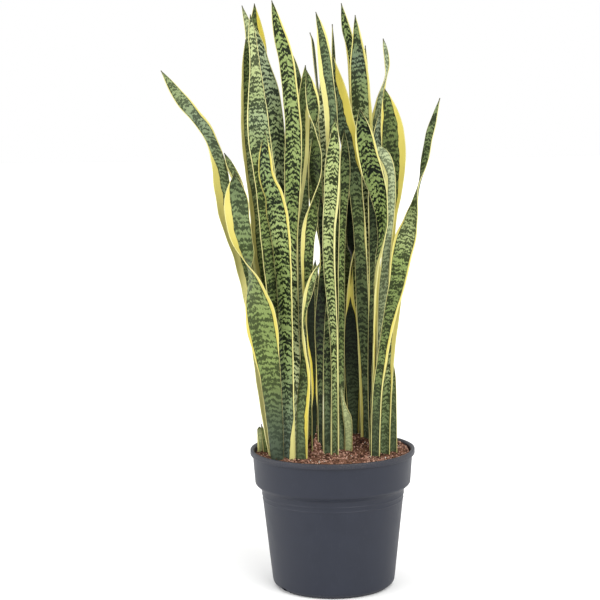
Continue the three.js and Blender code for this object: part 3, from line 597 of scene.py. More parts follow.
leaf("leaf_short_front_curled", "leaf_green", 60, (5.5, 4, 0.7), [
    (-49, -47.5, 204, 18, 165), (-47, -47.5, 289.5, 20, 160), (-43, -47.5, 349.5, 22, 145),
    (-44, -47.5, 391.5, 20, 115), (-45, -47.5, 429.5, 19, 92), (-43, -47.5, 459.5, 18, 68),
    (-36, -46.5, 489.5, 18, 45), (-28, -45.5, 514.5, 17, 35), (-17, -43, 536.5, 15, 30)
], [
    (204, 2, 0.4, 30, 10, 30), (260, 4.5, 0.4, 35, 10, 15), (288, 5.5, 0.4, 40),
    (336, 3.8, 0.4, 25, 10, 20), (384, 4, 0.5, 20, 10, 50), (415, 8, 0.6, 30, 10, 80),
    (470, 9, 0.6, 55, 10, 85), (500, 5, 0.6, 60, 10, 70), (537, 1.5, 0.6, 60, 10, 60)
])
leaf("leaf_edge_on_centre", "leaf_dark", 50, (5.5, 3, 0.5), [
    (-10, 44, 204, 12, 80), (-9, 44, 397.5, 14), (-10, 44, 558.5), (-12, 41.5, 699.5, 12),
    (-19, 39, 800.5, 12, 78), (-24, 36.5, 851, 11, 68), (-28, 34, 891, 12, 62), (-32, 34, 904, 9, 75)
], [
    (204, 0.6, 0.6, 15, 20, 50), (903, 0.4, 1)
])
leaf("leaf_cream_banded_centre", "leaf_pale", 80, (5.5, 5, 0.6), [
    (8, 39, 204, 12, -8), (11, 31.5, 347.5, 13), (12, 18.5, 428, 14), (11, 10, 519, 17.5),
    (6, 7.5, 619.5, 20.5), (4, 5, 720, 21, -3), (0.5, 1, 780, 21, 2), (-5, -1.5, 825.5, 22.5, 4),
    (-8.5, -1.5, 865.5, 21.5, 0), (-13.5, -1.5, 902.5, 20, -4), (-22, -1.5, 934, 18.5, -8)
], [
    (204, 0.5, 0.5, 20, 20, 50), (700, 2, 0.5, 25, 30, 60), (760, 8, 0.5, 40, 50, 80),
    (816, 8.5, 0.6), (850, 6, 1.5, 35), (885, 3, 3, 35, 40, 70), (912, 1.2, 3.2, 40),
    (933, 0.8, 2, 40, 30, 60)
])
leaf("leaf_mottled_behind_centre", "leaf_green", 80, (6.5, 3, 0.85), [
    (-7, -18, 204, 12, 5), (-6.5, -15.5, 298.5, 12.5), (-6, -5.5, 388.5, 14), (-5, 22, 468, 15),
    (-3, 27, 548.5, 20), (-3, 29.5, 639.5), (-6, 31, 710), (-10, 31, 770, 19), (-14, 31, 837.5, 16)
], [
    (204, 0.25, 0.25, 20, 20, 90), (340, 0.25, 0.25, 25), (440, 0.3, 0.3, 35),
    (640, 0.5, 0.5, 60, 20, 50), (720, 0.8, 0.8, 95, 30), (790, 0.8, 0.8, 100, 30, 70),
    (837, 0.6, 0.6, 85)
])
leaf("leaf_thin_dark_centre", "leaf_dark", 60, (5.5, 3, 0.5), [
    (4, 62, 204, 13.5, -25), (4, 62, 397, 15.5), (4, 59, 598.5, 18), (6, 51.5, 720, 16.5, -15),
    (7, 44, 800.5, 12, 10), (6.5, 41.5, 851, 8.5, 35), (4.5, 39, 917.5, 6, 45)
], [
    (204, 0.5, 0.5, 15, 20, 50), (916, 0.4, 0.4)
])
leaf("leaf_front_bright_centre", "leaf_pale", 55, (5.5, 5, 0.9), [
    (6, -18.5, 204, 11.5, -18), (6, -18.5, 298.5), (5, -18.5, 399, 12.5), (2, -20, 459, 16),
    (-2, -21, 529.5, 20), (-2, -22.5, 589.5, 22), (2, -22.5, 639.5, 25.5), (4, -22.5, 690),
    (7, -21, 730, 19), (8, -21, 765, 17)
], [
    (204, 0.3, 0.4, 35, 10, 60), (288, 0.4, 0.5, 50, 0), (336, 0.5, 0.9, 65, 0, 70),
    (400, 0.5, 1, 62), (440, 0.5, 0.8, 70, 0, 80), (500, 0.5, 1.5, 62, 0, 90),
    (560, 0.6, 2.6, 68, 0, 100), (620, 1, 3.2, 72), (655, 0.7, 3, 68), (700, 0.7, 1, 68, 0, 90),
    (765, 0.6, 0.8, 60, 0, 80)
])
leaf("leaf_narrow_right_of_centre", "leaf_green", 70, (5.5, 4, 0.8), [
    (15.5, -4, 204, 10, 20), (16, -1.5, 298, 11, 25), (16, 1, 398.5, 12), (17, 2.5, 458.5),
    (17, 3.5, 519), (18, 3.5, 559), (20, 3.5, 609.5, 13, 20), (23.5, 3.5, 669.5, 17, 10),
    (23, 3.5, 746, 18, 0)
], [
    (204, 1, 0.25, 45, 20, 50), (320, 0.8, 0.25, 45, 20, 60), (400, 1, 0.25, 38, 10),
    (440, 0.4, 0.25, 30), (520, 0.9, 0.25, 50), (620, 0.8, 0.3, 40), (680, 0.8, 0.5, 38, 20, 70),
    (746, 1.5, 0.4, 15, 20, 60)
])
leaf("leaf_golden_margin_centre", "leaf_dark", 50, (6.5, 4, 0.7), [
    (57.5, 34, 204, 14.5, -15), (55.5, 31.5, 327, 17.5), (52.5, 26.5, 448, 21), (50.5, 22.5, 518.5),
    (47.5, 18.5, 589), (41.5, 15, 649.5, 23), (37, 11, 700, 28), (30.5, 11, 735, 31),
    (25, 12.5, 762, 28), (22.5, 13.5, 787.5, 22), (16, 13.5, 815.5, 18.5), (10, 13.5, 840.5, 13.5),
    (5, 13.5, 866.5, 8.5)
], [
    (204, 2.5, 0.3, 50, 30, 40), (288, 4.5, 0.3, 45), (384, 3, 0.3, 30, 30, 50),
    (432, 1.2, 0.3, 25, 30, 60), (480, 0.4, 0.8), (528, 0.4, 1, 25, 30, 70), (576, 0.4, 3, 42, 20),
    (610, 0.4, 1, 42, 20, 60), (672, 1, 1, 40, 40, 50), (695, 0.5, 9, 35, 50, 20), (768, 0.5, 13, 30),
    (816, 0.5, 13), (850, 0.4, 6), (866, 0.4, 2)
])
print(len(LEAVES), "leaves so far")

# %% [markdown]
# ## The leaves on the right
#
# The right side is looser. Its outermost leaf leans away in a long slow wave and turns as it
# rises until it is seen on edge, so its rows lie close together where its facing changes.

# %% List the leaves on the right
leaf("leaf_tall_right_centre", "leaf_green", 70, (6.5, 8, 0.9), [
    (44.5, 79.5, 204, 13.5, -25), (44.5, 77, 396.5, 18), (44.5, 72, 598.5, 20), (42.5, 64.5, 750),
    (38.5, 55.5, 841, 18), (33, 51.5, 887, 16), (27, 49, 911.5, 18), (19, 46.5, 951.5, 15)
], [
    (204, 0.5, 0.5, 30, 10, 50), (800, 3, 3, 50, 20), (864, 3, 4), (900, 0.4, 1.4), (950, 0.4, 1, 45)
])
leaf("leaf_big_right_centre", "leaf_green", 105, (6.5, 5, 0.8), [
    (60.5, 56.5, 204, 18, -25), (60.5, 54, 326.5, 22.5), (60.5, 51.5, 478, 29), (59.5, 44, 619, 33.5),
    (55.5, 36.5, 720, 35.5), (52.5, 29, 770), (49.5, 23.5, 810.5, 35), (47, 21, 850.5, 32),
    (44.5, 18.5, 891, 27), (41, 17.5, 930, 26)
], [
    (204, 0.5, 1.5, 60, 10, 50), (600, 0.8, 4, 100, 20, 60), (660, 0.8, 5),
    (700, 0.8, 5.5, 80, 20, 50), (768, 0.8, 5.5, 65), (816, 2, 3.4, 50, 30), (862, 1.8, 3.4, 40, 80),
    (890, 1.6, 2.5, 40, 30), (929, 1.2, 1.5, 35, 30, 60)
])
leaf("leaf_small_tip_right", "leaf_dark", 50, (5.5, 3, 0.5), [
    (64.5, 85, 204, 11, -25), (64.5, 82.5, 396, 13.5), (62.5, 72, 598.5, 15.5), (58.5, 59, 760, 14.5),
    (57.5, 46.5, 841, 11), (58, 44, 883, 9)
], [
    (204, 0.6, 0.6, 20, 20, 40), (882, 0.6, 0.6, 25)
])
leaf("leaf_front_chevron_right", "leaf_green", 70, (6.5, 9, 1), [
    (65, -11, 204, 14, -80), (67, -16, 298.5, 16, -85), (69, -21, 399, 18, -88), (71, -26, 479.5, 22),
    (75, -31, 529.5, 26, -80), (82.5, -33, 574.5, 31, -70), (83, -35.5, 610, 35, -58),
    (77.5, -35.5, 645, 35, -42), (67, -35.5, 680, 34, -15), (59, -35.5, 710, 33, -8),
    (53.5, -35.5, 740, 32, -5), (47, -33, 780, 30, 0)
], [
    (204, 0.6, 8, 30, 10, 30), (430, 1, 12), (480, 1, 18, 50, 10, 70), (520, 1, 22, 60, 10, 80),
    (555, 0.8, 12, 55), (590, 0.4, 1.5, 45, 10, 70), (640, 0.4, 1), (672, 0.4, 1.2, 32),
    (700, 2, 2.6, 32, 10, 60), (720, 3.2, 3.2, 38, 10, 50), (750, 1, 1.2, 30, 20, 60),
    (780, 0.6, 0.8, 25, 30)
])
leaf("leaf_pale_crescent_right", "leaf_pale", 30, (5.5, 3, 0.5), [
    (79.5, 1, 204, 12.5, 195), (81.5, -1.5, 318, 14.5, 197), (83.5, -4, 418.5, 16, 200),
    (86.5, -6, 499, 17.5, 203), (92.5, -7.5, 569.5, 16.5, 205), (96.5, -8.5, 619.5, 17.5),
    (97.5, -10, 649.5), (95, -11, 680, 20), (87, -12.5, 705), (70, -13.5, 724, 15.5)
], [
    (204, 0.6, 0.4, 60, 40, 80), (400, 0.8, 0.6, 100, 50), (432, 0.8, 0.6), (480, 0.8, 0.4, 80),
    (528, 3, 1.8, 70), (576, 2.8, 0.5, 95), (624, 1.8, 0.6, 95, 45, 90), (672, 1.5, 5),
    (700, 1.5, 1.5, 100), (724, 1, 1)
])
leaf("leaf_broad_gold_right", "leaf_green", 75, (6.5, 4, 0.7), [
    (88.5, 34, 204, 14, -10), (90.5, 29, 347.5, 16), (91.5, 23.5, 478.5, 18), (94, 20, 559, 21, -8),
    (96, 18.5, 607, 25, -5), (99.5, 17.5, 641.5, 32, -3), (102.5, 16, 679.5, 37, 0),
    (103, 15, 710, 39), (100.5, 15, 745, 37.5), (97, 15, 770, 35), (88.5, 15, 812.5, 34)
], [
    (204, 0.5, 3, 30, 10, 30), (600, 3, 4), (640, 3, 6), (672, 1.2, 9, 25), (720, 0.8, 11, 26),
    (745, 2.5, 9.5, 30), (768, 4.5, 7, 35), (795, 2, 4), (812, 1, 2.5)
])
leaf("leaf_wavy_thin_right", "leaf_dark", 30, (5.5, 3, 0.5), [
    (77, 74.5, 204, 12, 0), (76, 72, 416.5, 14), (74.5, 67, 598.5), (71.5, 59, 699.5, 13),
    (73, 53, 755, 15), (80, 48, 785.5, 14, 10), (85, 45, 808.5, 14, 50), (91.5, 44, 833.5, 12, 75),
    (93, 44, 853, 13, 50), (91, 44, 873, 12, 45), (87, 44, 894, 10, 40)
], [
    (204, 0.8, 0.8, 60, 50, 60), (768, 4, 0.8, 80), (800, 0.8, 3, 75), (816, 0.8, 4.5, 75, 50, 50),
    (840, 0.8, 2, 85, 60), (893, 0.6, 0.8, 85, 70, 60)
])
leaf("leaf_leaning_far_right", "leaf_green", 60, (5, 3, 0.75), [
    (71, -33, 204, 13, -10), (72, -33, 269, 14), (75, -33, 329, 15), (82.5, -34.5, 379.5, 16),
    (89, -35.5, 419.5, 18), (98, -35.5, 464.5, 22), (107, -35.5, 504.5, 27),
    (113, -35.5, 544.5, 33, -12), (120, -34.5, 574.5, 35, -18), (128, -33, 599.5, 31, -45),
    (132.5, -33, 619, 29, -62), (136.5, -32, 637, 26, -76), (141.5, -31, 660, 22, -92),
    (149.5, -29.5, 690, 22, -66), (158, -27, 735, 20, -57), (166, -24.5, 765, 17, -55),
    (174.5, -23.5, 796, 10, -50)
], [
    (204, 0.3, 0.3, 20, 20, 50), (288, 0.3, 0.4, 22, 10), (336, 0.5, 1.2, 30, 10, 40),
    (384, 0.3, 3.2, 33, 10, 35), (432, 0.3, 4, 30), (480, 0.4, 2.2, 36, 10, 40), (528, 1.8, 2.4, 45),
    (576, 3.8, 2, 68), (605, 2, 1.2, 70, 10, 50), (640, 0.6, 1, 50, 20, 60), (672, 0.4, 0.4, 28),
    (720, 0.3, 0.6, 38, 30), (796, 0.5, 0.5, 45, 40)
])
print(len(LEAVES), "leaves so far")

# %% [markdown]
# ## Low leaves and leaves far inside
#
# Little light reaches these, so most are dark, and their low lightness paints that shade
# into their green as well. Three of them are only glimpsed between the others, and the rest of
# their length is guessed from how their neighbours grow.

# %% List the low and the inner leaves
# Its upper part, at a lightness of 0, is painted deep shade.
leaf("leaf_dark_gold_edge_right", "leaf_dark", 60, (5.5, 4, 0.6), [
    (36.5, 64.5, 204, 18, 20), (37.5, 62, 265.5, 20, 10), (36.5, 54, 336.5, 26, 0),
    (34.5, 46.5, 397, 25), (33.5, 41.5, 437.5, 20, 10), (32, 39, 473, 14, 30),
    (33, 37.5, 508.5, 14, 65), (35.5, 37.5, 539.5, 14, 95), (34.5, 37.5, 558.5, 17, 150),
    (34.5, 37.5, 599, 16, 160), (36.5, 39, 699.5, 14, 165)
], [
    (204, 0.3, 2, 45, 30, 30), (288, 0.3, 2.8, 25, 30, 20), (360, 0.3, 2.2, 5), (440, 0.5, 2.5, 0),
    (480, 8, 8, 10, 30, 30), (520, 3, 3, 0), (576, 0.2, 0.2, 0, 20, 60), (700, 0.3, 0.3)
])
leaf("leaf_dark_barred_centre", "leaf_dark", 50, (6.5, 2, 1), [
    (-18, -16, 204, 8, 12), (-18, -21, 299, 9), (-18.5, -21, 379, 12.5), (-18, -13.5, 439, 16.5),
    (-13, -5, 499, 15.5), (-11, 1, 554, 13.5), (-14, 3.5, 599.5, 14.5), (-16, 3.5, 641.5, 12.5)
], [
    (204, 0.2, 0.2, 5, 30, 60), (290, 0.2, 0.2, 12, 20), (340, 0.2, 0.2, 18), (432, 0.2, 0.2, 2),
    (500, 0.2, 0.2), (528, 2, 2, 30, 20, 50), (560, 0.3, 0.3, 0, 20, 60), (642, 0.3, 0.5, 10)
])
leaf("leaf_leaning_dark_centre", "leaf_dark", 50, (5.5, 3, 0.5), [
    (-30, -18.5, 204, 10.5, 55), (-28, -27, 319, 12, 45), (-29.5, -31, 369, 14.5),
    (-33, -32, 409.5, 17.5), (-33, -32, 459.5, 16.5, 40), (-31, -31, 524.5, 14.5, 35)
], [
    (204, 0.1, 0.1, 10, 20, 10), (300, 0.1, 0.1, 0), (325, 4, 3, 5), (350, 5, 2), (384, 5, 0.3, 0),
    (410, 2.5, 0.3), (432, 0.4, 0.2), (525, 0.3, 0.2)
])
leaf("leaf_deep_left_of_centre", "leaf_dark", 45, (5.5, 3, 0.6), [
    (-36, 48, 204, 13, 5), (-36, 50, 330, 14), (-32, 52, 420, 15), (-27.5, 52, 480),
    (-25.5, 52, 533, 13)
], [
    (204, 0.1, 0.1, 50, 20, 50), (400, 0.2, 0.2, 70), (533, 1.5, 0.8, 90, 20, 60)
])
leaf("leaf_deep_centre", "leaf_dark", 70, (5.5, 3, 0.7), [
    (-2, 78, 204, 13, 0), (-3, 78, 400, 15), (-6, 76, 520, 15, -5), (-13.5, 74, 580, 19, -8),
    (-20.5, 71, 625, 27, -10), (-22.5, 68, 680, 29, -12), (-25.5, 64, 745, 23),
    (-29, 60, 800, 15, -10)
], [
    (204, 0.3, 0.3, 25, 20, 50), (640, 0.6, 0.4, 45), (690, 2, 0.5, 70), (800, 3, 0.5, 90)
])
leaf("leaf_deep_right_of_centre", "leaf_dark", 70, (5.5, 3, 0.6), [
    (26, 88, 204, 13, 10), (27, 88, 400, 15), (27, 86, 500, 17, 8), (28, 84, 580, 18, 5),
    (32, 80, 680, 16), (36, 76, 740, 14)
], [
    (204, 0.3, 0.3, 25, 20, 50), (740, 0.4, 0.4, 30)
])
leaf("leaf_dark_behind_right", "leaf_dark", 60, (5.5, 4, 0.7), [
    (70.5, 18.5, 204, 14, -3), (67.5, 18.5, 327.5), (69.5, 18.5, 448.5, 16), (72.5, 19, 559, 20),
    (72.5, 20, 639.5, 22), (77.5, 21, 720, 20), (82.5, 25, 780, 16)
], [
    (204, 0.2, 0.3, 5, 30, 60), (384, 0.2, 0.4, 0), (432, 0.3, 2.5, 10, 30, 50),
    (480, 1.8, 5, 35, 30, 40), (528, 1, 3.5, 25, 30, 50), (560, 0.3, 0.4, 20, 30, 60),
    (610, 1.5, 0.3, 5, 30, 70), (650, 0.5, 0.4, 10, 50, 80), (720, 0.8, 0.6, 70, 70),
    (780, 0.8, 0.6, 85, 80)
])
leaf("leaf_zigzag_base_right", "leaf_green", 60, (5.5, 5, 0.9), [
    (87.5, -18.5, 204, 16.5, -25), (88.5, -18.5, 268.5, 17.5), (91.5, -17.5, 328.5, 16.5),
    (97.5, -13.5, 399, 15.5), (103.5, -8.5, 449, 17.5), (109.5, -2.5, 509, 20),
    (118.5, 2.5, 587.5, 17.5)
], [
    (204, 0.3, 0.6, 50, 10, 30), (288, 0.3, 1.5), (336, 0.5, 2, 60), (375, 5, 6, 80, 10, 50),
    (432, 6, 8), (520, 3, 4, 50, 10, 30), (588, 1, 2, 40, 10, 20)
])
leaf("leaf_outer_narrow_right", "leaf_dark", 30, (5.5, 3, 0.6), [
    (101.5, -6, 204, 14, -25), (101.5, -6, 278, 12), (102.5, -5, 328.5, 8), (101.5, -4, 367.5, 6.5)
], [
    (204, 0.3, 0.3, 50, 20, 50), (369, 0.3, 0.3, 60)
])
print(len(LEAVES), "leaves so far")

# %% [markdown]
# ## The shoots
#
# A new leaf comes up from the creeping rootstock as a short, narrow shoot. It has the same
# parts as a grown leaf, so the same list describes it, with a small width and a short taper.

# %% List the shoots
leaf("shoot_curled_centre", "leaf_pale", 12, (5, 2, 0.4), [
    (28, -5, 204, 11, 0), (28, -6, 248, 12), (27.5, -8.5, 265, 13), (25.5, -11, 281.5, 13.5),
    (22.5, -12.5, 292.5, 9), (19.5, -13, 304.5, 6), (17.5, -13.5, 317.5, 4.5),
    (15.5, -13.5, 333.5, 4)
], [
    (204, 0.2, 0.2, 95, -35, 20), (262, 0.3, 0.3, 100, -35, 30), (290, 0.4, 0.4, 100, -20, 50),
    (335, 0.4, 0.4, 100, -10)
])
leaf("shoot_blunt_left", "leaf_pale", 6, (5, 2, 0.35), [
    (-116.5, 8.5, 204, 11, 0), (-118.5, 8.5, 261.5, 8)
], [
    (204, 3.2, 1, 100, -35, 90), (264, 3.2, 1, 100, -35, 100)
])
leaf("shoot_dark_left", "leaf_dark", 25, (5, 2, 0.5), [
    (-107.5, 3.5, 204, 7, 0), (-110.5, 3.5, 242.5), (-115.5, 3.5, 267, 6)
], [
    (204, 0.2, 0.2, 50, -20, 30), (269, 0.3, 0.3, 55)
])
print(len(LEAVES), "leaves and shoots")

# %% [markdown]
# ## The skin of a leaf
#
# The real surface is a tough, waxy cuticle over green tissue. Pale tissue lies between dark
# bars that run across the leaf, wander, fork and end in teeth drawn out along it. The margins
# have no green at all: they are golden where young and cream where light has bleached them,
# with a sharp border and now and then a thin green line. Here the creaminess is also raised on
# some shaded margins as painted light.
#
# A photograph wrapped on the leaf would be the quick way, but these bars are easy to grow: take
# noise that is stretched across the leaf, and before reading it shift the place along the leaf
# by three other amounts, a slow wander, fine teeth, and a bend that makes a chevron. A gentle
# wave keeps the bars' spacing, blotches break the bars up, and flecks make their borders
# ragged. All of it is in millimetres, from numbers that each leaf's mesh carries.

# %% The waxy leaf finish
SPOTS = {  # width across the leaf and length along it in mm, the noise's layer and its detail
    "teeth": (2.6, 9.0, 0.0, 2.0),
    "wander": (14.0, 28.0, 5.0, 1.0),
    "band": (28.0, 17.0, 9.0, 2.0),
    "blotch": (5.5, 6.0, 17.0, 1.0),
    "fleck": (2.4, 3.2, 13.0, 2.0),
    "streak": (0.9, 70.0, 21.0, 2.0),
}
TOOTH_SHIFT = 11.0
WANDER_SHIFT = 12.0
WAVE_STRETCH = 1.25
WAVE_WEIGHT = 0.36
BAND_WEIGHT = 2.4
BLOTCH_WEIGHT = 2.2
FLECK_WEIGHT = 1.5
PALE_RANGE = (0.3, 0.82)
STREAK_WEIGHT = 0.5
WOBBLE_SHARE = 0.5
WOBBLE_LENGTH = 19.0
WOBBLE_LAYER = 29.0
WOBBLE_DETAIL = 3.0
MARGIN_EDGE = 0.25
BORDER_WIDTH = 1.8
BORDER_DARKNESS = 0.7
RIM_RANGE = (1.5, 0.5)
RIM_COVER = 0.5
THREAD_RANGE = (0.12, 0.2)
THREAD_COVER = 0.35
SCAR_RANGE = (9.0, 1.0)
SCAR_COVER = 0.75
RIDGE_HEIGHT = 0.12
FLECK_RIDGE = 0.35

# The tissues run through three shades as the lightness rises. Their darkest shades are painted shade
# for leaves deep in the clump, and the two under painted sheen are a blue-grey painted reflection.
GREENS = {
    "dark bar": ("#040701", "#091104", "#17240b"),
    "pale tissue": ("#1d2512", "#80914f", "#c9d196"),
    "bar under painted sheen": ("#080d0c", "#111a16", "#25332a"),
    "tissue under painted sheen": ("#212a26", "#748573", "#b4c2a2"),
}


def waxy_leaf():
    """Bars of dark tissue on pale, between a left and a right margin, under a satin wax, with a
    blue-grey painted sheen and with painted light and shade in the tones of its tissues.
    """
    material, tree, shader = new_finish("waxy_barred_leaf")

    def reading(name):
        """The three numbers that each point of the leaf carries under a name."""
        vector = add(tree, "Attribute", {"attribute_name": name}).outputs["Vector"]
        return add(tree, "SeparateXYZ", Vector=vector).outputs

    def spots(kind, place):
        """Noise from -0.5 to 0.5, with spots of their kind's width and length."""
        width, length, layer, detail = SPOTS[kind]
        value = noise(tree, math(tree, "DIVIDE", across, width),
                      math(tree, "DIVIDE", place, length), layer, detail)
        return math(tree, "SUBTRACT", value, 0.5)

    def tissue(name):
        """A tissue's colour at the point's lightness, which holds painted light and shade as well."""
        return three_way(tree, light, GREENS[name])

    left, right, along = reading("edge_distance")
    left_margin, right_margin, cream_and_painted_light = reading("margin_width")
    light, painted_sheen, from_tip = reading("tone")
    spacing, bend, strength = reading("bars")

    across = times(tree, math(tree, "SUBTRACT", left, right), 0.5)
    half = times(tree, math(tree, "ADD", left, right), 0.5)
    off_middle = math(tree, "DIVIDE", math(tree, "ABSOLUTE", across), half)

    place = plus(tree, along, spots("teeth", along), TOOTH_SHIFT)
    place = plus(tree, place, spots("wander", along), WANDER_SHIFT)
    place = plus(tree, place, off_middle, bend)
    turns = times(tree, math(tree, "DIVIDE", place, spacing), 2 * np.pi / WAVE_STRETCH)
    fleck = spots("fleck", along)
    streak = spots("streak", along)
    paleness = plus(tree, 0.5, math(tree, "SINE", turns), WAVE_WEIGHT)
    paleness = plus(tree, paleness, spots("band", place), BAND_WEIGHT)
    paleness = plus(tree, paleness, spots("blotch", place), BLOTCH_WEIGHT)
    paleness = plus(tree, paleness, fleck, FLECK_WEIGHT)
    pale = step(tree, paleness, *PALE_RANGE)
    pale = plus(tree, 0.5, math(tree, "SUBTRACT", pale, 0.5), strength)

    plain = blend(tree, pale, tissue("dark bar"), tissue("pale tissue"))
    # A blue-grey painted sheen, standing for reflected light, is laid over the bars by its share.
    under_painted_sheen = blend(tree, pale, tissue("bar under painted sheen"), tissue("tissue under painted sheen"))
    green = blend(tree, painted_sheen, plain, under_painted_sheen)
    green = add(tree, "Mix", {"data_type": "RGBA", "blend_type": "MULTIPLY"}, i0=1.0, i6=green,
                i7=plus(tree, 1.0, streak, STREAK_WEIGHT)).outputs[2]

    wobble = noise(tree, 0.0, math(tree, "DIVIDE", along, WOBBLE_LENGTH), WOBBLE_LAYER,
                   WOBBLE_DETAIL)
    wobble = plus(tree, 1 - WOBBLE_SHARE / 2, wobble, WOBBLE_SHARE)

    def past_margin(distance, width):
        """How far a point is from the margin's inner border, in millimetres."""
        return math(tree, "SUBTRACT", distance, times(tree, width, wobble))

    inner = math(tree, "MINIMUM", past_margin(left, left_margin),
                 past_margin(right, right_margin))
    border = times(tree, step(tree, inner, BORDER_WIDTH, 0.0), BORDER_DARKNESS)
    green = blend(tree, border, green, tissue("dark bar"))
    # Creaminess mixes the gold toward cream; on some shaded margins it is raised as painted light.
    gold = blend(tree, cream_and_painted_light, linear("#b6a534"), linear("#cdc987"))
    rim = step(tree, math(tree, "MINIMUM", left, right), *RIM_RANGE)
    gold = tinted(tree, gold, rim, RIM_COVER, "#cfcc94")
    gold = tinted(tree, gold, step(tree, streak, *THREAD_RANGE), THREAD_COVER, "#6f8030")
    skin = blend(tree, step(tree, inner, MARGIN_EDGE, -MARGIN_EDGE), green, gold)
    skin = tinted(tree, skin, step(tree, from_tip, *SCAR_RANGE), SCAR_COVER, "#2c2a18")

    ridges = plus(tree, streak, fleck, FLECK_RIDGE)
    bump = add(tree, "Bump", Strength=0.5, Distance=RIDGE_HEIGHT * MM, Height=ridges)
    feed(tree, shader, Base_Color=skin, Normal=bump.outputs[0], Roughness=0.42, IOR=1.45,
         Specular_IOR_Level=0.1)
    return material


leaf_finish = waxy_leaf()
print("nodes in the leaf finish:", len(leaf_finish.node_tree.nodes))

# %% [markdown]
# ## Grow every leaf
#
# Each leaf's grid goes through the blade formula, and each of its points gets the numbers that
# the finish reads: its distance from both edges, the margins' widths, the tone and the bars.
# A leaf's number shifts its place in the noise, so no two leaves share their bars.

# %% Build the leaves
LEAF_NOISE_STEP = 1700.0
RIPPLE_PHASE_STEP = 2.4
MARGIN_CLOSING = 38.0
CALM_FOOT = (225.0, 390.0)
FOOT_STRENGTH = 0.5
# Extra painted sheen near each leaf's foot, fading out over the calm foot.
FOOT_PAINTED_SHEEN = 0.35


def leaf_piece(number, name, about):
    """One leaf: the blade's grid, closed by a strip of quads at its foot and at its tip."""
    phase = number * RIPPLE_PHASE_STEP
    points, s, width, u = blade(about["rows"], about["taper"], phase)
    rows, ring = u.shape
    heights = points[:, :, 2].mean(axis=1)
    marks = about["marks"]

    def at(column):
        """One column of the markings, read at each cross-section's height."""
        return np.interp(heights, marks[:, 0], marks[:, column])

    def every(*numbers):
        """Three numbers a cross-section or a point, as one triple a point."""
        spread = [np.broadcast_to(np.reshape(n, (-1, 1)) if np.ndim(n) == 1 else n, u.shape)
                  for n in numbers]
        return np.stack(spread, axis=-1).reshape(-1, 3)

    open_share = smooth(np.clip((s[-1] - s) / MARGIN_CLOSING, 0, 1))
    above_foot = smooth(np.clip((heights - CALM_FOOT[0]) / (CALM_FOOT[1] - CALM_FOOT[0]), 0, 1))
    spacing, bend, strength = about["bars"]
    # The tone's lightness carries painted light and shade, and its second number the painted sheen.
    values = {
        "edge_distance": every((u + 1) / 2 * width[:, None], (1 - u) / 2 * width[:, None],
                               s + number * LEAF_NOISE_STEP),
        "margin_width": every(at(1) * open_share, at(2) * open_share, at(5)),
        "tone": every(at(3), at(4) + FOOT_PAINTED_SHEEN * (1 - above_foot), s[-1] - s),
        "bars": every(spacing, bend, strength * mix(FOOT_STRENGTH, 1, above_foot)),
    }
    near = np.arange(ring // 2 - 1)
    foot_cap = np.stack([near + 1, near, ring - 1 - near, ring - 2 - near], axis=1)
    tip_cap = (rows - 1) * ring + foot_cap[:, ::-1]
    faces = np.concatenate([grid_faces(rows, ring), foot_cap, tip_cap])
    cap_uv = np.zeros((len(foot_cap) * 8, 2))
    uv = np.concatenate([grid_uv(rows, ring), cap_uv])
    return mesh_piece(name + "_skin", points * MM, faces, uv, values)


for number, (name, about) in enumerate(LEAVES.items()):
    finished(leaf_piece(number, name, about), leaf_finish, about["slot"], name)

# %% [markdown]
# ## The pot
#
# The pot is injection-moulded from recycled polypropylene: a thin wall with a rolled lip, a
# straight collar that stiffens it, and a slightly tapering body with two faint rings below the
# shoulder. A moulding like this is round, so one profile is carried round the axis. The
# solid model's own round is coarse, and this finer one takes its place, with small radii at each
# corner as the mould gives them. The drain holes and foot notches are then cut out of it.

# %% The pot's profile
RIM_RADIUS = 135
POT_HEIGHT = 228
LIP_HEIGHT = 9
COLLAR_TOP_RADIUS, COLLAR_FOOT_RADIUS = 131, 127.5
COLLAR_TOP = POT_HEIGHT - LIP_HEIGHT
COLLAR_FOOT = COLLAR_TOP - 47
BODY_TOP = COLLAR_FOOT - 9
BODY_TOP_RADIUS, BODY_FOOT_RADIUS = 117.5, 101
BASE_RADIUS = 91.5
CHAMFER_HEIGHT = 13
RING_DROPS = (17, 9)
RING_PROUD = 0.7
RING_HALF_HEIGHT = 1.6
LIP_SLOPE = 2.4
CHAMFER_BULGE = 0.87
WALL = 2.6
PAD_RADIUS = 32
FOOT_RING_WIDTH = 8
RECESS_DEPTH = 4
FLOOR_LEVEL = 7
POT_SIDES = 180
CORNER_STEPS = 5
MOST_CUT = 0.45


def body_radius(z):
    """The body's radius at a height: it grows evenly from the chamfer to the shoulder."""
    return mix(BODY_FOOT_RADIUS, BODY_TOP_RADIUS, (z - CHAMFER_HEIGHT) / (BODY_TOP - CHAMFER_HEIGHT))


def rounded(profile):
    """A path through corners given as (radius, height, rounding). Each corner with a rounding
    becomes a quadratic curve that starts and ends that far before and after it, or at the
    most 0.45 of the way to the next corner."""
    corners = np.array(profile, float)
    path = [corners[:1, :2]]
    t = np.linspace(0, 1, CORNER_STEPS)[:, None]
    for before, corner, after in zip(corners[:-2], corners[1:-1], corners[2:]):
        into, away = before[:2] - corner[:2], after[:2] - corner[:2]
        cut = min(corner[2], MOST_CUT * np.linalg.norm(into), MOST_CUT * np.linalg.norm(away))
        start = corner[:2] + unit(into) * cut
        end = corner[:2] + unit(away) * cut
        path.append((1 - t) ** 2 * start + 2 * t * (1 - t) * corner[:2] + t * t * end)
    path.append(corners[-1:, :2])
    return np.concatenate(path)


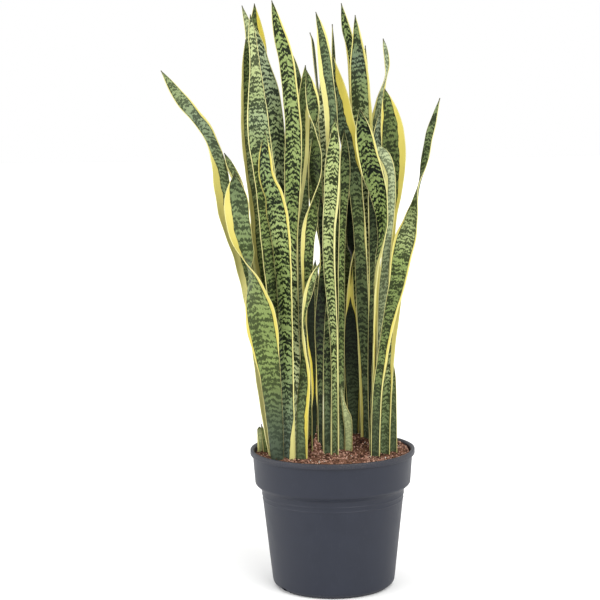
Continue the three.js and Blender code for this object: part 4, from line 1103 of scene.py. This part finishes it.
def pot_profile():
    """The pot's half section, from the middle of the pad, up the outside and down inside."""
    foot_inner = BASE_RADIUS - FOOT_RING_WIDTH
    inner_top = COLLAR_TOP_RADIUS - WALL
    outside = [(0, 0, 0), (PAD_RADIUS, 0, 0.5), (PAD_RADIUS, RECESS_DEPTH, 0.5),
               (foot_inner, RECESS_DEPTH, 0.5), (foot_inner, 0, 0.5), (BASE_RADIUS, 0, 1.0),
               (mix(BASE_RADIUS, BODY_FOOT_RADIUS, CHAMFER_BULGE), CHAMFER_HEIGHT / 2, 5),
               (BODY_FOOT_RADIUS, CHAMFER_HEIGHT, 3)]
    for drop in RING_DROPS:
        z = BODY_TOP - drop
        low, high = z - RING_HALF_HEIGHT, z + RING_HALF_HEIGHT
        outside += [(body_radius(low), low, 0.8), (body_radius(z) + RING_PROUD, z, 0.9),
                    (body_radius(high), high, 0.8)]
    outside += [(BODY_TOP_RADIUS, BODY_TOP, 3), (COLLAR_FOOT_RADIUS - 1.5, COLLAR_FOOT - 1.8, 1.2),
                (COLLAR_FOOT_RADIUS, COLLAR_FOOT + 0.5, 1.6),
                (COLLAR_TOP_RADIUS, COLLAR_TOP, 1.0), (RIM_RADIUS, COLLAR_TOP, 3),
                (RIM_RADIUS, POT_HEIGHT, 3.2)]
    inside = [(inner_top + LIP_SLOPE, POT_HEIGHT, 1.5), (inner_top, POT_HEIGHT - LIP_SLOPE, 1.5),
              (COLLAR_FOOT_RADIUS - WALL, COLLAR_FOOT, 2), (BODY_TOP_RADIUS - WALL, BODY_TOP, 2),
              (BODY_FOOT_RADIUS - WALL, CHAMFER_HEIGHT, 3), (BASE_RADIUS - WALL, FLOOR_LEVEL, 2),
              (0, FLOOR_LEVEL, 0)]
    return rounded(outside + inside)


def turned_points(profile, sides):
    """A profile of (radius, height) carried round the Z axis, one circle a row."""
    angle = np.linspace(0, 2 * np.pi, sides, endpoint=False)
    radius, height = profile[:, :1], profile[:, 1:]
    return np.stack(np.broadcast_arrays(radius * np.cos(angle), radius * np.sin(angle),
                                        height), axis=-1)


def turned_piece(name, profile, sides):
    """A closed turned body whose profile starts and ends on the axis, at single points."""
    ring_points = turned_points(profile[1:-1], sides)
    rows = len(ring_points)
    points = np.concatenate([ring_points.reshape(-1, 3), [(0, 0, profile[0, 1])],
                             [(0, 0, profile[-1, 1])]])
    faces = grid_faces(rows, sides).tolist()
    first, last = rows * sides, rows * sides + 1
    start = np.arange(sides)
    faces += np.stack([start, np.full(sides, first), np.roll(start, -1)], axis=1)[:, ::-1].tolist()
    end = (rows - 1) * sides + start
    faces += np.stack([end, np.roll(end, -1), np.full(sides, last)], axis=1).tolist()
    uv = np.concatenate([grid_uv(rows, sides), np.zeros((sides * 6, 2))])
    return mesh_piece(name, points * MM, faces, uv)


pot = turned_piece("pot_moulding", pot_profile(), POT_SIDES)
print("pot profile points:", len(pot_profile()))

# %% [markdown]
# ## Drain holes and notches
#
# Water leaves through eight round holes in the recessed floor and through four notches in the
# foot. The mould forms both with steel cores, so the cuts are clean and square. Here cutters
# stand where the cores do and a boolean takes them away.

# %% Cut the drains
DRAIN_SIZE = (6, 6, 1.5 * FLOOR_LEVEL)
DRAIN_RING_RADIUS = 58
DRAIN_COUNT = 8
DRAIN_SIDES = 28
NOTCH_ANGLES = (-145, -10, 35, 170)
NOTCH_SIZE = (11, 6, 8)
SHARP_ANGLE = np.radians(40)


def core_points(count, size, centre, turn):
    """An upright prism's two end rings: a regular ring of count points (turned so that four
    give an upright box), scaled by half sizes, moved out to centre and turned about Z."""
    angle = 2 * np.pi * (np.arange(count) + 0.5) / count
    ring = np.stack([np.cos(angle), np.sin(angle)], axis=1) / np.cos(np.pi / count)
    ring = ring * np.array(size[:2]) + np.array([centre, 0])
    cos, sin = np.cos(turn), np.sin(turn)
    ring = ring @ np.array([(cos, sin), (-sin, cos)])
    low = np.column_stack([ring, np.full(count, -size[2])])
    high = np.column_stack([ring, np.full(count, size[2])])
    return np.concatenate([low, high])


def core_faces(count, start):
    """A prism's sides and its two ends, for points numbered from start."""
    i = np.arange(count)
    after = (i + 1) % count
    sides = np.stack([i, after, after + count, i + count], axis=1) + start
    return sides.tolist() + [(i[::-1] + start).tolist(), (i + count + start).tolist()]


drain_turns = 2 * np.pi * (np.arange(DRAIN_COUNT) + 0.5) / DRAIN_COUNT
cores = [core_points(DRAIN_SIDES, DRAIN_SIZE, DRAIN_RING_RADIUS, turn) for turn in drain_turns]
cores += [core_points(4, NOTCH_SIZE, BODY_FOOT_RADIUS, turn) for turn in np.radians(NOTCH_ANGLES)]
core_sides = [len(points) // 2 for points in cores]
starts = np.cumsum([0] + [len(points) for points in cores[:-1]])
cutter_faces = sum((core_faces(n, start) for n, start in zip(core_sides, starts)), [])
cutter = mesh_piece("steel_cores", np.concatenate(cores) * MM, cutter_faces)
cutting = pot.modifiers.new("drains", "BOOLEAN")
cutting.operation = "DIFFERENCE"
cutting.solver = "EXACT"
cutting.object = cutter
seen = pot.evaluated_get(bpy.context.evaluated_depsgraph_get())
cut_mesh = bpy.data.meshes.new_from_object(seen)
pot.modifiers.clear()
pot.data = cut_mesh
bpy.data.objects.remove(cutter)
pot.data.set_sharp_from_angle(angle=SHARP_ANGLE)
print("pot faces after cutting:", len(pot.data.polygons))

# %% [markdown]
# ## Moulded plastic
#
# Recycled polypropylene is dull slate grey all the way through. The mould leaves it satin, with
# faint cloudy flow marks, and handling adds fine scuffs and a little dried-on dust. It is an
# even colour, so what makes it plastic to the eye is its soft gloss, broken by those marks.

# %% The pot's finish
SCUFF_SQUEEZE = 0.12
SCUFF_RANGE = (0.6, 0.75)
SCUFF_COVER = 0.22
DUSTY_HEIGHTS = (216 * MM, 226 * MM)
DUSTY_GRAIN = (0.4, 0.8)
DUST_COVER = 0.35


def moulded_polypropylene():
    """Slate grey with flow clouds some 30 mm across, upright scuffs, 1.5 mm grain and dust near
    the lip."""
    material, tree, shader = new_finish("moulded_polypropylene")
    place = add(tree, "TexCoord").outputs["Object"]
    height = add(tree, "SeparateXYZ", Vector=place).outputs["Z"]
    clouds = speckle(tree, place, 30, 3.0)
    grain = speckle(tree, place, 1.5, 2.0)
    upright = add(tree, "Mapping", Vector=place, Scale=(1, 1, SCUFF_SQUEEZE)).outputs[0]
    scuffs = speckle(tree, upright, 2.2, 4.0)
    colour = blend(tree, clouds, linear("#171b27"), linear("#202430"))
    scuffed = times(tree, step(tree, scuffs, *SCUFF_RANGE), SCUFF_COVER)
    colour = blend(tree, scuffed, colour, linear("#3a3d44"))
    dusty = times(tree, step(tree, height, *DUSTY_HEIGHTS), step(tree, grain, *DUSTY_GRAIN))
    colour = tinted(tree, colour, dusty, DUST_COVER, "#6b6459")
    gloss = plus(tree, plus(tree, 0.42, clouds, 0.16), scuffed, 0.5)
    bump = add(tree, "Bump", Strength=0.25, Distance=0.08 * MM, Height=grain)
    feed(tree, shader, Base_Color=colour, Roughness=gloss, Normal=bump.outputs[0], IOR=1.49,
         Specular_IOR_Level=0.35)
    return material


finished(pot, moulded_polypropylene(), "pot_plastic", "pot")
print("pot finish:", pot.data.materials[0].name)

# %% [markdown]
# ## The soil
#
# Potting soil is a loose mix: brown crumbs of peat and coir, pinkish bark dust, pale stems and a
# few white beads of perlite. It lies level near the wall and is heaped round the plant, with a
# steep little heap of root-ball crumbs between the leaves and a low one at the front. The top
# is one surface with a crumbly height of its own, and loose crumbs lie on it so that its
# outline against the leaves is broken as it is in life.

# %% The heap
SOIL_LEVEL = 219
HEAPS = [  # height, middle and reach
    (24, (10, 45), (95, 42)),
    (52, (-28, -14), (8, 9)),
    (9, (10, -92), (30, 14)),
]
SOIL_EDGE = COLLAR_TOP_RADIUS - WALL - 1.2
SOIL_RINGS = 110
SOIL_SIDES = 300
LUMP_HEIGHTS = {22: 2.2, 9: 1.6, 4: 1.4}
LUMPS_FADE = 6
LATTICE_SIZE = 64
SURFACE_SINK = 1.5
WALL_GAP = 0.4
AXIS_GAP = 0.5
dice = np.random.default_rng(7)


def lattice_noise(x, y, cell):
    """Smooth random heights from -1 to 1: random numbers on a square lattice of that cell size,
    with smooth steps between them."""
    size = LATTICE_SIZE
    lattice = dice.uniform(-1, 1, (size, size))
    column, row = np.floor(x / cell).astype(int), np.floor(y / cell).astype(int)
    right, up = smooth(x / cell - column), smooth(y / cell - row)
    near = mix(lattice[row % size, column % size], lattice[row % size, (column + 1) % size], right)
    far = mix(lattice[(row + 1) % size, column % size],
              lattice[(row + 1) % size, (column + 1) % size], right)
    return mix(near, far, up)


def heap_level(x, y):
    """The soil's height: level, plus a bell for each heap, which fades with the squared distance
    from the heap's middle, in its reaches along x and y."""
    return SOIL_LEVEL + sum(
        high * np.exp(-((x - middle[0]) / reach[0]) ** 2 - ((y - middle[1]) / reach[1]) ** 2)
        for high, middle, reach in HEAPS)


def soil_points():
    """Rows of circles from the middle of the heap to the wall, then down inside the wall and
    back to the axis along the pot's floor."""
    radius = np.linspace(AXIS_GAP, SOIL_EDGE, SOIL_RINGS)[:, None]
    angle = np.linspace(0, 2 * np.pi, SOIL_SIDES, endpoint=False)
    x, y = radius * np.cos(angle), radius * np.sin(angle)
    fade = smooth(np.clip((SOIL_EDGE - radius) / LUMPS_FADE, 0, 1))
    lumps = sum(high * lattice_noise(x, y, cell) for cell, high in LUMP_HEIGHTS.items())
    top = np.stack([x, y, heap_level(x, y) + fade * lumps - SURFACE_SINK], axis=-1)
    gap = WALL + WALL_GAP
    floor_level = FLOOR_LEVEL + WALL_GAP
    wall = np.array([(COLLAR_FOOT_RADIUS - gap, COLLAR_FOOT), (BODY_TOP_RADIUS - gap, BODY_TOP),
                     (BODY_FOOT_RADIUS - gap, CHAMFER_HEIGHT),
                     (BASE_RADIUS - gap, floor_level), (AXIS_GAP, floor_level)])
    return np.concatenate([top, turned_points(wall, SOIL_SIDES)])[::-1]


heap_grid = soil_points()
heap = mesh_piece("soil_heap", heap_grid * MM, grid_faces(len(heap_grid), SOIL_SIDES),
                  grid_uv(len(heap_grid), SOIL_SIDES))
print("soil from", round(heap_grid[..., 2].min()), "to", round(heap_grid[..., 2].max()), "mm")

# %% [markdown]
# ## Finishes of the soil
#
# The crumbs are dry on top and damp below, so they run from pinkish fawn to dark brown. Each
# grain's own shade picks its place in that range. Perlite is expanded volcanic glass, rough
# and chalk white, often stained by the peat.

# %% Colour the soil
PATCH_SIZE = 14


def crumbly(name, colours, grain_mm, by_grain):
    """A very rough finish that runs through three colours by each grain's shade, or for the
    heap by broad patches, and is mottled by noise of the grain's size in millimetres."""
    material, tree, shader = new_finish(name)
    place = add(tree, "TexCoord").outputs["Object"]
    mottle = speckle(tree, place, grain_mm, 4.0)
    if by_grain:
        shade = add(tree, "Attribute", {"attribute_name": "shade"}).outputs["Fac"]
    else:
        shade = speckle(tree, place, PATCH_SIZE, 3.0)
    share = math(tree, "ADD", math(tree, "SUBTRACT", mottle, 0.5), shade)
    bump = add(tree, "Bump", Strength=0.8, Distance=0.5 * MM, Height=mottle)
    feed(tree, shader, Base_Color=three_way(tree, share, colours), Normal=bump.outputs[0],
         Roughness=0.95, Specular_IOR_Level=0.2)
    return material


peat = crumbly("peat_and_coir", ("#24160f", "#573a2b", "#8d6551"), 2.5, False)
crumb = crumbly("peat_crumbs", ("#2c1a12", "#7a5645", "#c39c88"), 1.2, True)
bark = crumbly("composted_bark", ("#2b1810", "#623e2e", "#a07362"), 1.6, True)
coir = crumbly("coir_fibre", ("#4a3222", "#74553a", "#a4845f"), 1.5, True)
glass = crumbly("expanded_perlite", ("#a39c90", "#c4bfb5", "#dbd8d0"), 0.8, True)
finished(heap, peat, "potting_soil", "soil")
print("soil finishes:", peat.name, crumb.name, bark.name, coir.name, glass.name)

# %% [markdown]
# ## Loose crumbs, fibres and perlite
#
# Loose grains are far too many to model one by one, and from an arm's length only their size,
# angular shape and colour show. Each is a rough twenty-sided lump, stretched, turned and
# coloured at random. Coir fibres are thin slivers of the same kind.

# %% Scatter the grains
GOLDEN = (1 + 5 ** 0.5) / 2
LUMP_CORNERS = unit(np.array([
    (-1, GOLDEN, 0), (1, GOLDEN, 0), (-1, -GOLDEN, 0), (1, -GOLDEN, 0),
    (0, -1, GOLDEN), (0, 1, GOLDEN), (0, -1, -GOLDEN), (0, 1, -GOLDEN),
    (GOLDEN, 0, -1), (GOLDEN, 0, 1), (-GOLDEN, 0, -1), (-GOLDEN, 0, 1)]))
LUMP_FACES = np.array([
    (0, 11, 5), (0, 5, 1), (0, 1, 7), (0, 7, 10), (0, 10, 11), (1, 5, 9), (5, 11, 4),
    (11, 10, 2), (10, 7, 6), (7, 1, 8), (3, 9, 4), (3, 4, 2), (3, 2, 6), (3, 6, 8), (3, 8, 9),
    (4, 9, 5), (2, 4, 11), (6, 2, 10), (8, 6, 7), (9, 8, 1)])
SMALLEST = 0.6
MOST_PUSH = 0.3
GRAIN_SINK = 1.0


def random_turns(count):
    """Random turns, as matrices: two random directions made square, and their cross product."""
    first = unit(dice.normal(size=(count, 3)))
    second = unit(np.cross(first, unit(dice.normal(size=(count, 3)))))
    return np.stack([first, second, np.cross(first, second)], axis=1)


def scattered(name, finish, count, sizes, flatness, reach, rise, middle=(0, 0)):
    """count lumps on the soil, within a share of its radius from a middle. Each is the
    twenty-sided lump with its corners pushed in or out by up to 30 %, scaled by a random size
    and by flatness along its three axes, turned at random and set down with rise times its
    size above the heap, less a little."""
    lump_points = len(LUMP_CORNERS)
    radius = SOIL_EDGE * reach * np.sqrt(dice.uniform(0, 1, count))
    angle = dice.uniform(0, 2 * np.pi, count)
    x, y = middle[0] + radius * np.cos(angle), middle[1] + radius * np.sin(angle)
    size = dice.uniform(*sizes, count) * dice.uniform(SMALLEST, 1, count)
    size = np.minimum(size, (SOIL_EDGE - np.hypot(x, y)) / max(flatness))
    pushed = dice.uniform(1 - MOST_PUSH, 1 + MOST_PUSH, (count, lump_points, 1))
    corners = LUMP_CORNERS * pushed * size[:, None, None] * np.array(flatness)
    corners = np.einsum("nij,nkj->nki", random_turns(count), corners)
    centre = np.stack([x, y, heap_level(x, y) + size * rise - GRAIN_SINK], axis=1)
    points = corners + centre[:, None]
    faces = (LUMP_FACES + lump_points * np.arange(count)[:, None, None]).reshape(-1, 3)
    shade = np.repeat(dice.uniform(0, 1, count), lump_points)
    piece = mesh_piece(name, points * MM, faces, np.zeros((len(faces) * 3, 2)),
                       {"shade": shade}, flat=True)
    finished(piece, finish, "potting_soil")
    print(name, count, "grains")


scattered("soil_crumbs", crumb, 4200, (0.9, 2.6), (1, 0.85, 0.7), 0.985, 0.2)
scattered("bark_chips", bark, 260, (2.2, 4.4), (1, 0.6, 0.35), 0.94, 0.25)
scattered("coir_fibres", coir, 420, (3.0, 8.0), (1, 0.07, 0.07), 0.93, 0.12)
scattered("perlite_beads", glass, 90, (0.8, 1.8), (1, 0.9, 0.8), 0.97, 0.5)
scattered("spilt_perlite_beads", glass, 26, (1.1, 2.4), (1, 0.9, 0.8), 0.09, 0.6, (-64, -94))
scattered("root_ball_crumbs", crumb, 700, (1.0, 2.6), (1, 0.85, 0.7), 0.12, 0.2, (-28, -14))

# %% [markdown]
# ## The size of the solid model
#
# The dressed plant must be the size of the solid model, whose box is printed here.

# %% Print the solid model's box
print("solid box, mm:", np.round(np.array(solid_box) / MM, 1).tolist())
